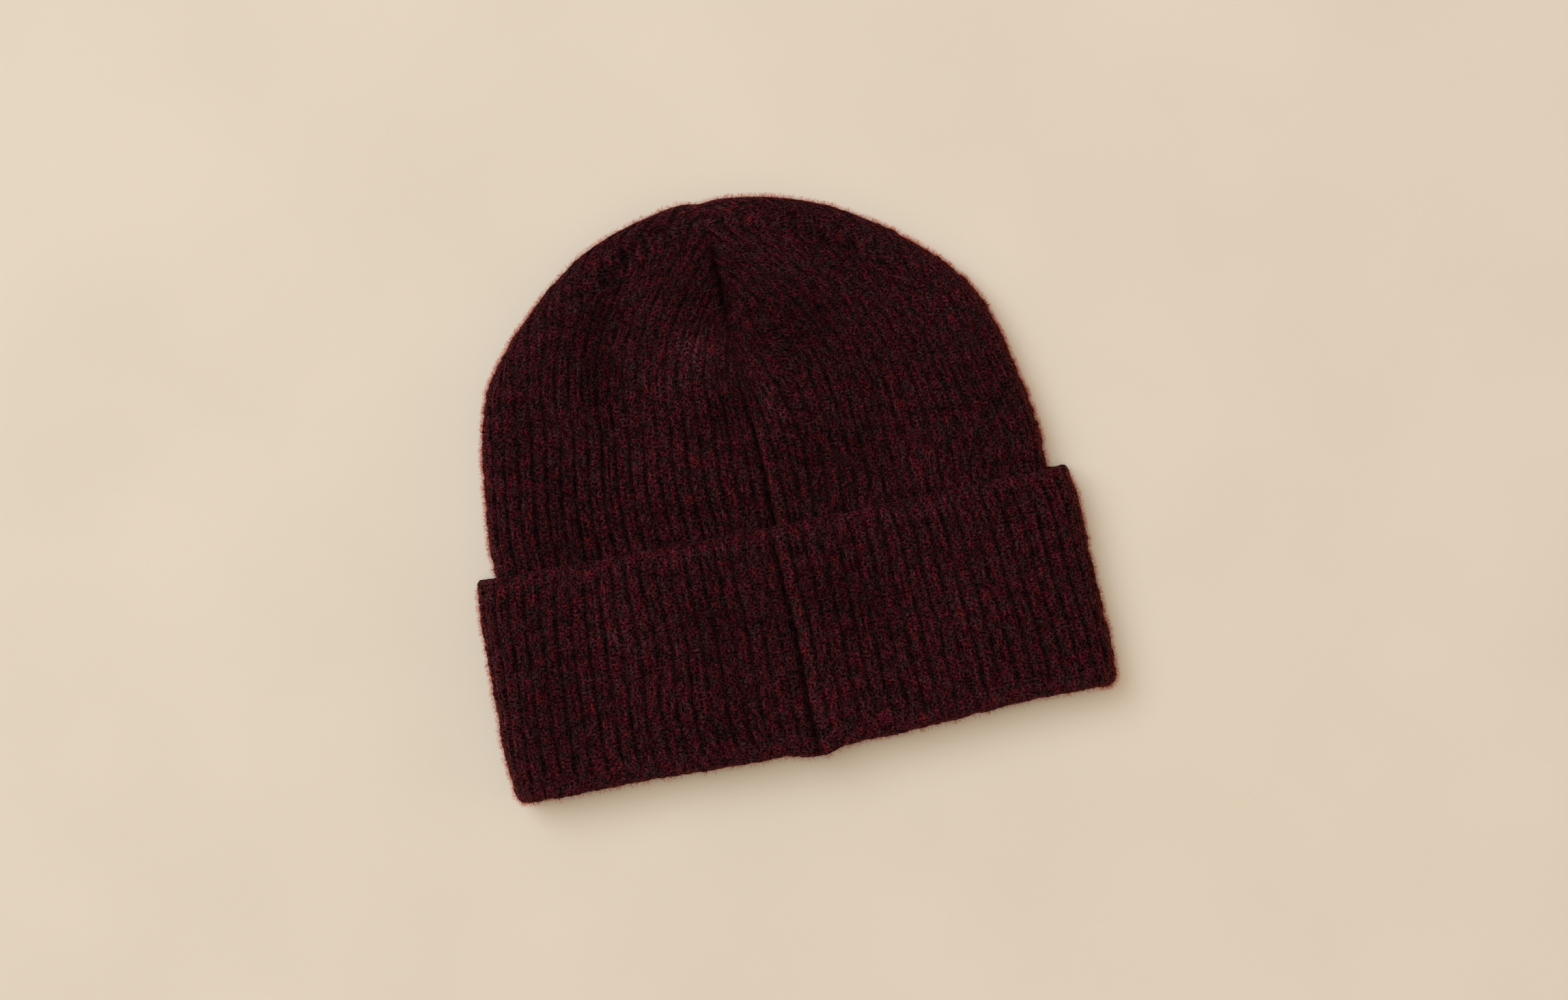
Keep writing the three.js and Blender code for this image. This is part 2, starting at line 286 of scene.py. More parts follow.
@dataclass(frozen=True)
class Patch:
    """A soft place of the upper side, where the knit is pressed or raised, with painted light and
    shade.

    x and y are its middle, across and along its half widths, turn how many degrees it leans to
    the left, height its bump (below 0 a dent) and light the light painted there, as a natural
    logarithm, below 0 a painted shade.
    """

    x: float
    y: float
    across: float
    along: float
    turn: float
    height: float
    light: float


# Light in these tables is painted light and shade: mostly darker over dents, lighter over bumps.
CROWN_PATCHES = (
    Patch(-16.5, 149, 6.5, 5.5, 0, 1.7, 0.62),
    Patch(-29, 141, 15, 13, 0, 0.5, 0.24),
    Patch(-11, 168, 7, 11, 5, -1.3, -0.45),
    Patch(-3.5, 166, 2.2, 13, 3, 0, -0.3),
    Patch(-11, 123.5, 9, 5.5, 0, -0.3, -0.5),
    Patch(22, 151, 14, 12, 0, -1.1, -0.44),
    Patch(19, 177, 15, 7, -40, 0.8, 0.16),
    Patch(34, 183, 17, 5, -42, -0.4, -0.28),
    Patch(-54, 147, 7.5, 19, 0, -0.9, -0.5),
    Patch(-47, 169, 6, 9, -20, -0.6, -0.55),
    Patch(-39, 184, 4, 8, -38, -0.4, -0.45),
    Patch(-33, 178, 4, 13, -30, 0.4, 0.2),
    Patch(-25, 194, 3, 7, -48, -0.2, -0.3),
    Patch(4.5, 131, 2.4, 13, 16, 0.8, 0.48),
    Patch(-43, 112, 9, 9, 0, 0.5, 0.24),
    Patch(-77, 106, 8, 13, 0, -0.4, -0.2),
    Patch(-54, 108, 8, 8, -30, -0.3, -0.2),
    Patch(-73, 91, 12, 6, 0, -0.3, -0.24),
    Patch(-36, 93, 22, 6, 0, -0.2, -0.16),
    Patch(16, 103, 8, 12, 0, -0.4, -0.32),
    Patch(35, 104, 8, 9, 30, -0.4, -0.36),
    Patch(54, 94, 6, 7, 0, 0.4, 0.28),
    Patch(42, 128, 12, 7, 30, -0.2, -0.14),
    Patch(76, 146, 9, 12, 0, 0.3, 0.14),
    Patch(84, 112, 9, 10, 0, -0.3, -0.14),
    Patch(-2, 200, 10, 7, 0, 0, 0.35),
    Patch(-84, 131, 9, 14, 0, 0, -0.1),
)
# Light here too is painted light and shade.
CUFF_PATCHES = (
    Patch(-28, 54, 8, 14, 2, -0.4, -0.3),
    Patch(-28, 22, 8, 18, 0, -0.3, -0.26),
    Patch(-61, 54, 8, 13, 0, 0.5, 0.26),
    Patch(-89, 40, 8, 28, 0, -0.3, -0.16),
    Patch(-45, 16, 12, 6, 0, -0.2, -0.12),
    Patch(17, 54, 14, 14, 0, -0.4, -0.32),
    Patch(30, 47, 10, 5, 40, 0, -0.12),
    Patch(4.7, 14, 3, 8, 0, 0.4, 0.3),
    Patch(59, 41, 12, 11, 0, 0.3, 0.16),
    Patch(72, 72, 7, 6, 0, -0.2, -0.12),
    Patch(82, 22, 10, 12, 0, -0.2, -0.1),
    Patch(0, 80, 4, 2.5, 0, 0.3, 0.2),
)
PATCH_FADE = 6.0


# ---------------------------------------------------------------- The lie of the hat


class Sections:
    """A table of sections, with smooth values at every height between them."""

    SQUARED = ("left", "right")

    def __init__(self, rows: tuple[Section, ...]) -> None:
        """Takes the sections apart into columns.

        Args:
            rows: the sections, by rising height.
        """
        names = [column.name for column in fields(Section)]
        self.columns = {name: np.array([getattr(row, name) for row in rows]) for name in names}
        self.y = self.columns.pop("y")

    def column(self, name: str, y: Array) -> Array:
        """A column of the table on a smooth curve through its rows.

        Between two rows the curve is the cubic that has their values and, at each row, the
        slope of the chord between its neighbours. A reach is found through its square, so the
        outline closes round at the tip.

        Args:
            name: which column.
            y: heights, of any shape.
        Returns:
            The values at those heights.
        """
        values = self.columns[name] ** 2 if name in self.SQUARED else self.columns[name]
        slopes = np.empty_like(values)
        slopes[1:-1] = (values[2:] - values[:-2]) / (self.y[2:] - self.y[:-2])
        slopes[0] = (values[1] - values[0]) / (self.y[1] - self.y[0])
        slopes[-1] = (values[-1] - values[-2]) / (self.y[-1] - self.y[-2])
        i = np.clip(np.searchsorted(self.y, y, side="right") - 1, 0, len(self.y) - 2)
        step = self.y[i + 1] - self.y[i]
        t = np.clip((y - self.y[i]) / step, 0, 1)
        found = (
            values[i] * (1 + 2 * t) * (1 - t) ** 2
            + values[i + 1] * t**2 * (3 - 2 * t)
            + step * t * (1 - t) * (slopes[i] * (1 - t) - slopes[i + 1] * t)
        )
        return np.sqrt(np.maximum(found, 0)) if name in self.SQUARED else found

    def at(self, y: Array) -> dict[str, Array]:
        """All columns at some heights. The thickness closes at the tip along a quarter circle.

        Args:
            y: heights, of any shape.
        Returns:
            The values of each column at those heights.
        """
        ring = {name: self.column(name, y) for name in self.columns}
        to_tip = np.minimum(1, np.maximum(0, HEIGHT - y) / TIP_ROUND)
        closing = np.sqrt(1 - (1 - to_tip) ** 2)
        for name in ("upper", "lower", "rise"):
            ring[name] = ring[name] * closing
        return ring


def quarter_lengths(reach: Array, height: Array, edge: Array) -> tuple[Array, Array, Array]:
    """Splits a quarter of a ring into a straight stretch and a quarter ellipse.

    Args:
        reach: from the middle line to the side edge.
        height: half the thickness.
        edge: how far in the rounded side reaches.
    Returns:
        How far in it reaches at most, the straight length, and the arc's length by
        Ramanujan's formula for an ellipse.
    """
    across = np.minimum(edge, reach)
    root = np.sqrt((3 * across + height) * (across + 3 * height))
    arc = math.pi / 4 * (3 * (across + height) - root)
    return across, reach - across, arc


@dataclass(frozen=True)
class Columns:
    """Columns of a knitted tube, evenly round it from the middle of the upper side.

    turn counts quarters: 0 is the middle of the upper side, 1 the right side edge, 2 the
    middle of the underside and 3 the left side edge.
    """

    count: int

    @property
    def turn(self) -> Array:
        """The place of each column, in quarters."""
        return 4 * np.arange(self.count) / self.count

    @property
    def to_side(self) -> Array:
        """1 on the right half and -1 on the left half."""
        return np.where(self.turn <= 2, 1.0, -1.0)

    @property
    def is_upper(self) -> Array:
        """Which columns are on the upper side."""
        return (self.turn <= 1) | (self.turn >= 3)

    @property
    def rib(self) -> Array:
        """0 at a middle line and 1 at a side edge."""
        turn = np.where(self.turn <= 2, self.turn, 4 - self.turn)
        return np.where(self.is_upper, turn, 2 - turn)


def ring_points(sections: Sections, columns: Columns, y: Array, part: Array) -> Array:
    """Points of the flattened rings.

    A quarter of a ring runs straight out from the middle line, domed by rise times a
    half-cosine, and then round a quarter ellipse.

    Args:
        sections: the table of rings.
        columns: the columns round the hat, one for each last index of y.
        y: heights, rows by columns.
        part: 0 at the middle line to 1 at the side edge, along the ring.
    Returns:
        Points, rows by columns by 3.
    """
    ring = sections.at(y)
    reach = np.where(columns.to_side < 0, ring["left"], ring["right"])
    height = np.where(columns.is_upper, ring["upper"], ring["lower"])
    across, straight, arc = quarter_lengths(reach, height, ring["edge"])
    length = part * (straight + arc)
    is_flat = length < straight
    turn = math.pi * np.minimum(length / np.maximum(straight, TINY), 1)
    angle = math.pi / 2 * np.clip((length - straight) / np.maximum(arc, TINY), 0, 1)
    dome = np.where(columns.is_upper, ring["rise"], 0) * (1 + np.cos(turn)) / 2
    x = np.where(is_flat, length, straight + across * np.sin(angle))
    z = np.where(is_flat, height + dome, height * np.cos(angle))
    place = np.maximum(0, ring["side"] + np.where(columns.is_upper, z, -z))
    return np.stack([ring["seam"] + columns.to_side * x, y + 0 * x, place], -1)


def hem_shift(columns: Columns) -> Array:
    """How far the fold is bent: up towards the sides by a square and an arch in each half, and
    down at the seam by a bell.

    Args:
        columns: the columns round the hat.
    Returns:
        The shift along y of each column.
    """
    drop = HEM_DROP.at(columns.rib * HALF_WIDTH)
    shift = HEM_RISE * columns.rib**2 - np.where(columns.is_upper, drop, 0)
    for side, arch in ((-1, HEM_ARCH_LEFT), (1, HEM_ARCH_RIGHT)):
        shift = shift + np.where(columns.to_side == side, arch.at(columns.rib), 0)
    return shift


def patch_fields(
    patches: tuple[Patch, ...], sections: Sections, columns: Columns, smooth: Array
) -> tuple[Array, Array]:
    """The heights and the painted light and shade of soft patches, each a bell, faded out towards the
    side edges.

    Args:
        patches: the patches.
        sections: gives the side edges' height.
        columns: the columns round the hat.
        smooth: points, rows by columns by 3.
    Returns:
        Heights and painted light and shade, rows by columns.
    """
    height = np.zeros(smooth.shape[:2])
    light = np.zeros(smooth.shape[:2])
    for patch in patches:
        turn = math.radians(patch.turn)
        x, y = smooth[..., 0] - patch.x, smooth[..., 1] - patch.y
        beside = (x * math.cos(turn) + y * math.sin(turn)) / patch.across
        ahead = (y * math.cos(turn) - x * math.sin(turn)) / patch.along
        bell = np.exp(-(beside**2) - ahead**2)
        height += patch.height * bell
        light += patch.light * bell
    side = sections.column("side", smooth[..., 1])
    fade = np.clip((smooth[..., 2] - side) / PATCH_FADE, 0, 1)
    fade = np.where(columns.is_upper, fade, 0)
    return height * fade, light * fade


# ---------------------------------------------------------------- Relief of the knit

LEG_TOP = 0.8
DEEPEST = 1.2
SIDE_SHOWN = 0.1
SIDE_FACING = 0.55
SIDE_SINKS = 0.2
LOOSER = 1.8
# Cells to a rib and to a stitch, and height in millimetres.
TUFTS = ((1.7, 0.8, 0.17), (5.5, 2.1, 0.13))


@dataclass
class Relief:
    """The knit's relief at each point, and what its colour needs to know.

    height is above or below the ridges' level, sunk is 0 on a ridge and up to DEEPEST in a
    valley, and sets how much shade the finish paints there, and tone is the random shade of the
    yarn in that stitch, from 0 to 1.
    """

    height: Array
    sunk: Array
    tone: Array


def knit_relief(knit: Knit, ribs: Array, courses: Array, seed: int) -> Relief:
    """Ribs with two slanting legs of yarn in each stitch.

    Over a rib's phase p from 0 to 1 the ground is -depth times a half-cosine of 2 pi p to a
    power a little over 1, which makes the ridges somewhat broader than the valleys. Each leg
    is half an ellipsoid, laid at a slant beside the rib's middle, one stitch above the other,
    and the highest leg shows. Noise makes the yarn uneven, which deepens or fills the valleys.

    Args:
        knit: sizes of the knit.
        ribs: place round the hat, counted in ribs.
        courses: place along the rib, counted in stitches.
        seed: for the random shades and heights.
    Returns:
        The relief at those places.
    """
    pitch = ROUND / knit.ribs_round
    rib = np.floor(ribs)
    phase = ribs - rib
    valley = (0.5 + 0.5 * np.cos(2 * math.pi * phase)) ** knit.rib_power
    upness = 1.0 if knit.points_up else -1.0
    best = np.full(phase.shape, -1.0)
    tone = np.full(phase.shape, 0.5)
    for side in (-1.0, 1.0):
        for step in (-1, 0, 1):
            stitch = np.floor(courses) + step
            across = (phase - 0.5 - side * knit.leg_place) * pitch
            along = (courses - stitch - 0.5) * knit.course * upness
            turned = along * math.cos(knit.leg_slant) + side * across * math.sin(knit.leg_slant)
            beside = across * math.cos(knit.leg_slant) - side * along * math.sin(knit.leg_slant)
            room = 1 - (turned / knit.leg_half_length) ** 2 - (beside / knit.leg_half_width) ** 2
            random = cell_values(2 * rib + (side > 0), stitch, seed)
            value = np.sqrt(np.maximum(room, 0)) * (1 + knit.leg_change * (random - 0.5))
            tone = np.where(value > best, random, tone)
            best = np.maximum(best, value)
    below = LEG_TOP - np.maximum(best, 0)
    cells_u, cells_v = knit.uneven_cells
    uneven = 1 + knit.uneven * lattice_noise(ribs * cells_u, courses * cells_v, seed + 5)
    change = knit.even_valley + (1 - knit.even_valley) * uneven
    height = -knit.rib_depth * valley * change - knit.stitch_height * below
    # How much shade to paint into the valleys and between the legs, beside the relief's own shade.
    sunk = (knit.valley_shade * valley + knit.leg_shade * below) * uneven
    return Relief(height, np.clip(sunk, 0, DEEPEST), tone)


def seam_fields(ribs: Array, fade: Array) -> tuple[Array, Array]:
    """The closing seam, as heights and as painted light and shade.

    Args:
        ribs: places round the hat, counted in ribs from the seam.
        fade: how much of the seam shows, from 0 to 1.
    Returns:
        Heights and painted light and shade.
    """
    ribs_round = CROWN_KNIT.ribs_round
    away = ribs - ribs_round * np.round(ribs / ribs_round)
    groove = SEAM.groove.at(away) * fade
    ridge = SEAM.ridge.at(away) * fade
    height = SEAM.ridge_height * ridge - SEAM.groove_depth * groove
    # Painted shade in the groove and a painted highlight on the ridge.
    return height, SEAM.ridge_light * ridge + SEAM.groove_light * groove


def at_sides(normals: Array) -> Array:
    """How much of the knit shows under the nap: less at the side edges, where it is bent."""
    return SIDE_SHOWN + (1 - SIDE_SHOWN) * ramp(normals[..., 2] ** 2, 0, SIDE_FACING)


def tufts(ribs: Array, courses: Array, seed: int, sides: Array) -> Array:
    """Uneven yarn and nap: noise of stitch size and finer, together up to 0.3 mm high.

    In the loose nap of the side edges it is nearly three times as high, by LOOSER, and the
    knit under it lies a little lower.

    Args:
        ribs, courses: places round and along the knit, in ribs and stitches.
        seed: which noise.
        sides: 1 on the flat of the hat, less at the side edges.
    Returns:
        Heights.
    """
    height = np.zeros(ribs.shape)
    for step, (to_rib, to_stitch, most) in enumerate(TUFTS, start=1):
        height += most * lattice_noise(ribs * to_rib, courses * to_stitch, seed + step)
    return height * (1 + LOOSER - LOOSER * sides) - SIDE_SINKS * (1 - sides)


# ---------------------------------------------------------------- Meshes


@dataclass
class Shape:
    """A mesh in the making: points, faces, maps at the faces' corners, values at the points."""

    points: Array
    quads: Array
    triangles: Array
    knit_uv: Array
    bake_uv: Array
    values: dict[str, Array]


def tube_quads(ids: Array) -> Array:
    """Faces between the rows of a tube, whose last column meets its first.

    Args:
        ids: point numbers, rows by columns, or several tubes of that.
    Returns:
        Quads, facing out where rows run away and columns run to the right.
    """
    following = np.roll(ids, -1, axis=-1)
    around = [ids[..., :-1, :], following[..., :-1, :], following[..., 1:, :], ids[..., 1:, :]]
    return np.stack(around, -1).reshape(-1, 4)


def joining_triangles(fine: Array, coarse: Array, is_back: bool) -> Array:
    """Faces between a ring of many points and one that has every second of them.

    Args:
        fine, coarse: point numbers round the two rings.
        is_back: turns the faces round.
    Returns:
        Triangles, three for each point of the coarse ring.
    """
    a, b, c = fine[0::2], fine[1::2], np.roll(fine, -2)[0::2]
    here, beyond = coarse, np.roll(coarse, -1)
    fans = [np.stack(corners, 1) for corners in ((a, b, here), (b, beyond, here), (b, c, beyond))]
    return np.concatenate(fans)[:, ::-1] if is_back else np.concatenate(fans)


def face_corners(quads: Array, triangles: Array) -> tuple[Array, Array]:
    """The faces' corners, one face after another.

    Args:
        quads, triangles: the faces.
    Returns:
        The point at each corner, and the point at the first corner of its face.
    """
    corners = np.concatenate([quads.ravel(), triangles.ravel()])
    first = np.concatenate([np.repeat(quads[:, 0], 4), np.repeat(triangles[:, 0], 3)])
    return corners, first


def point_normals(points: Array, quads: Array) -> Array:
    """Normals at the points: each face's normal, the cross product of its diagonals, is added
    to its corners, and the sums are made one long.

    Args:
        points: the points.
        quads: the faces between them.
    Returns:
        One direction for each point.
    """
    corners = points[quads]
    facing = np.cross(corners[:, 2] - corners[:, 0], corners[:, 3] - corners[:, 1])
    total = np.zeros_like(points)
    for axis in range(3):
        for corner in range(4):
            total[:, axis] += np.bincount(quads[:, corner], facing[:, axis], len(points))
    return unit(total)


def make_object(name: str, shape: Shape, material: bpy.types.Material) -> bpy.types.Object:
    """Makes a smooth-shaded object from a shape.

    Args:
        name: the piece's name.
        shape: its points in millimetres, faces and values.
        material: its finish.
    Returns:
        The object, at the origin.
    """
    mesh = bpy.data.meshes.new(name)
    corners, _ = face_corners(shape.quads, shape.triangles)
    sizes = np.concatenate([np.full(len(shape.quads), 4), np.full(len(shape.triangles), 3)])
    starts = np.concatenate([[0], np.cumsum(sizes)[:-1]])
    mesh.vertices.add(len(shape.points))
    mesh.vertices.foreach_set("co", (shape.points * MM).astype(np.float32).ravel())
    mesh.loops.add(len(corners))
    mesh.loops.foreach_set("vertex_index", corners.astype(np.int32))
    mesh.polygons.add(len(sizes))
    mesh.polygons.foreach_set("loop_start", starts.astype(np.int32))
    mesh.polygons.foreach_set("use_smooth", np.ones(len(sizes), dtype=bool))
    mesh.update(calc_edges=True)
    for label, uv in (("knit", shape.knit_uv), ("OFBake", shape.bake_uv)):
        layer = mesh.uv_layers.new(name=label)
        layer.uv.foreach_set("vector", uv.astype(np.float32).ravel())
    for label, values in shape.values.items():
        kind, item = ("FLOAT_VECTOR", "vector") if values.ndim == 2 else ("FLOAT", "value")
        attribute = mesh.attributes.new(label, kind, "POINT")
        attribute.data.foreach_set(item, values.astype(np.float32).ravel())
    mesh.validate()
    mesh.materials.append(material)
    made = bpy.data.objects.new(name, mesh)
    bpy.context.scene.collection.objects.link(made)
    return made


def thin_hidden(made: bpy.types.Object, hidden: Array, most: int) -> None:
    """Merges small faces where they are hidden, until the piece is small enough.

    Args:
        made: the piece.
        hidden: 1 at the points that don't show from above.
        most: how many triangles the piece may have.
    """
    triangles = sum(len(face.vertices) - 2 for face in made.data.polygons)
    group = made.vertex_groups.new(name="may_merge")
    group.add(np.flatnonzero(hidden > 0.5).tolist(), 1.0, "REPLACE")
    modifier = made.modifiers.new("thin", "DECIMATE")
    modifier.ratio = min(1.0, most / triangles)
    modifier.vertex_group = group.name
    modifier.vertex_group_factor = 1.0
    with bpy.context.temp_override(object=made, active_object=made):
        bpy.ops.object.modifier_apply(modifier=modifier.name)
    made.vertex_groups.clear()


# ---------------------------------------------------------------- Knitted pieces

EASE_MOST = 3.4
EASE_WIDTH = 6.0
OUTSIDE_UP = (0.002, 0.885)
INSIDE_UP = (0.902, 0.095)


@dataclass
class Tube:
    """A knitted tube on a grid of rows and columns, before its relief.

    smooth holds the points, ids which point each place of the grid uses, courses the distance
    along the ribs in stitches, free how freely the knit stands up, from 0 to 1, shown how much
    of its relief the felting leaves, and the last one the painted light and shade of the
    patches, with the cuff's band of lighter nap by its free edge.
    """

    smooth: Array
    ids: Array
    courses: Array
    free: Array
    shown: Array
    nap: Array


@dataclass
class Surface:
    """A knitted tube with its relief, for its wall and for the fibres that stand on it.

    All are on the tube's grid: points and normals rows by columns by 3, lie the normals that
    the painted glow at the edges goes by, ribs the places round the hat, tone, sunk and the last
    one what the colours go by: sunk how much shade is painted into a valley, and the last one
    the painted light and shade, with the band of lighter nap.
    """

    points: Array
    normals: Array
    lie: Array
    ribs: Array
    tone: Array
    sunk: Array
    nap: Array

    def part(self, rows: slice, place: Array) -> Surface:
        """Some rows of it, with its points moved to their place."""
        cut = {item.name: getattr(self, item.name)[rows] for item in fields(self)}
        return Surface(**cut | {"points": cut["points"] + place})


@dataclass
class Skin:
    """One side of a knitted wall.

    points are its points, ids their numbers on a grid, and faces_back tells that its faces
    have to be turned round. For each point, column is its place round the hat from 0 to 1,
    ribs the same in ribs, length its place along the knit in millimetres, up its place up the
    bake map, and values what the finish reads.
    """

    points: Array
    ids: Array
    faces_back: bool
    column: Array
    ribs: Array
    length: Array
    up: Array
    values: dict[str, Array]

    def quads(self, first: int) -> Array:
        """The faces between its points, whose numbers start at first."""
        quads = tube_quads(self.ids + first)
        return quads[:, ::-1] if self.faces_back else quads


def eased(across: Array) -> Array:
    """Place round the hat for the finish, in millimetres. Round the side edges it runs slower,
    by a hyperbolic tangent of the distance from the edge, because the nap is loose.

    Args:
        across: place round the hat in millimetres.
    Returns:
        The eased place.
    """
    for edge in (ROUND / 4, 3 * ROUND / 4):
        across = across - EASE_MOST * np.tanh((across - edge) / EASE_WIDTH)
    return across


@dataclass
class KnitPiece:
    """A piece of the knit: one closed wall, with an outside in full detail and a plainer inside.

    joins tells which rows of the outside and the inside meet, and whether the faces between
    them are turned round. covered_rows is how many of the first rows are hidden by the other
    piece, and fibre_rows between which rows fibres stand. draw_heights and draws tell how far
    the ribs draw in towards the middle, at two heights, and wander and wander_length how far
    and how fast they stray.
    """

    name: str
    knit: Knit
    seed: int
    flat_size: tuple[float, float]
    flat_area: float
    joins: tuple[tuple[int, int, bool], ...]
    covered_rows: int
    fibre_rows: tuple[int, int | None]
    draw_heights: tuple[float, float]
    draws: tuple[float, float]
    wander: float
    wander_length: float
    columns: Columns = Columns(800)
    row_step: float = 0.66
    inside_step: int = 2
    most_triangles: int = 196_000

    def draw_in(self, y: Array) -> Array:
        """How far the ribs draw in at heights y, in ribs: most half way to the side edges."""
        draw = np.interp(y, self.draw_heights, self.draws)
        return -draw * np.sin(math.pi * self.columns.turn / 2) * self.knit.ribs_round / 4

    def stray(self, ribs: Array, y: Array) -> Array:
        """How far the ribs stray, by noise that is still at the seam.

        Args:
            ribs: places round the hat, in ribs.
            y: heights.
        Returns:
            Distances in ribs.
        """
        noise = self.wander * lattice_noise(ribs / 5, y / self.wander_length, self.seed)
        turn = self.columns.turn
        from_seam = np.minimum(turn, 4 - turn) * self.knit.ribs_round / 4
        return noise * np.minimum(1, from_seam / 2)

    def build(self, place: Array, material: bpy.types.Material) -> tuple[bpy.types.Object, Surface]:
        """Makes the piece.

        Args:
            place: where the hat's own origin lies in the frame.
            material: the knit's finish.
        Returns:
            The object, and its outer surface in the frame.
        """
        tube = self.tube()
        points = tube.smooth.reshape(-1, 3)
        normals = point_normals(points, tube_quads(tube.ids))[tube.ids]
        ribs = self.rib_places(tube)
        relief = knit_relief(self.knit, ribs, tube.courses, self.seed)
        depth, sunk, light = self.dress(tube, normals, ribs, relief)
        outside = tube.smooth + normals * (depth * tube.free)[..., None]
        outside = outside.reshape(-1, 3)[tube.ids]
        # The patches' painted light and shade, with that of the seam, darts and free edge added.
        nap = tube.nap + light
        surface = Surface(outside, normals, self.lie(normals), ribs, relief.tone, sunk, nap)
        shape = self.wall(self.outer_skin(tube, surface), self.inner_skin(tube, surface))
        shape.points = shape.points + place
        made = make_object(self.name, shape, material)
        thin_hidden(made, shape.values["hidden"], self.most_triangles)
        return made, surface.part(slice(*self.fibre_rows), place)

    def lie(self, normals: Array) -> Array:
        """The normals that the painted red glow at the edges goes by."""
        return normals

    def outer_skin(self, tube: Tube, surface: Surface) -> Skin:
        """The outside of the wall.

        Args:
            tube, surface: the piece's grid.
        Returns:
            The skin.
        """
        rows, count = tube.ids.shape
        used, ids = np.unique(tube.ids, return_inverse=True)
        row, column = np.divmod(used, count)
        is_hidden = ~self.columns.is_upper[column] | (row < self.covered_rows)
        start, reach = OUTSIDE_UP
        return Skin(
            points=surface.points.reshape(-1, 3)[used],
            ids=ids.reshape(rows, count),
            faces_back=False,
            column=column / count,
            ribs=surface.ribs.reshape(-1)[used],
            length=tube.courses.reshape(-1)[used] * self.knit.course,
            up=start + reach * row / (rows - 1),
            values={
                "sunk": surface.sunk.reshape(-1)[used],
                "tone": surface.tone.reshape(-1)[used],
                "nap": surface.nap.reshape(-1)[used],
                "hidden": is_hidden.astype(float),
                "lie": surface.lie.reshape(-1, 3)[used],
            },
        )

    def wall(self, outer: Skin, inner: Skin) -> Shape:
        """Closes a wall between its two skins.

        The knit map is in millimetres of knit: x the ribs times their pitch, y the length. The
        bake map lays the outside out over most of the square and the inside in a strip above
        it. A face that closes the tube counts on past the last column.

        Args:
            outer, inner: the skins.
        Returns:
            The shape.
        """
        first_inner = len(outer.points)
        quads = np.concatenate([outer.quads(0), inner.quads(first_inner)])
        triangles = [
            joining_triangles(outer.ids[here], inner.ids[there] + first_inner, is_back)
            for here, there, is_back in self.joins
        ]
        triangles = np.concatenate(triangles)
        values = {
            name: np.concatenate([outer.values[name], inner.values[name]]) for name in outer.values
        }
        corners, first = face_corners(quads, triangles)
        column = np.concatenate([outer.column, inner.column])
        rounds = np.round(column[first] - column[corners])
        pitch = ROUND / self.knit.ribs_round
        ribs = np.concatenate([outer.ribs, inner.ribs])[corners] + self.knit.ribs_round * rounds
        length = np.concatenate([outer.length, inner.length])[corners]
        across = 0.005 + 0.99 * (column[corners] + rounds + 0.5) / 2.0
        up = np.concatenate([outer.up, inner.up])[corners]
        return Shape(
            points=np.concatenate([outer.points, inner.points]),
            quads=quads,
            triangles=triangles,
            knit_uv=np.stack([eased(ribs * pitch), length], 1),
            bake_uv=np.stack([across, up], 1),
            values=values,
        )


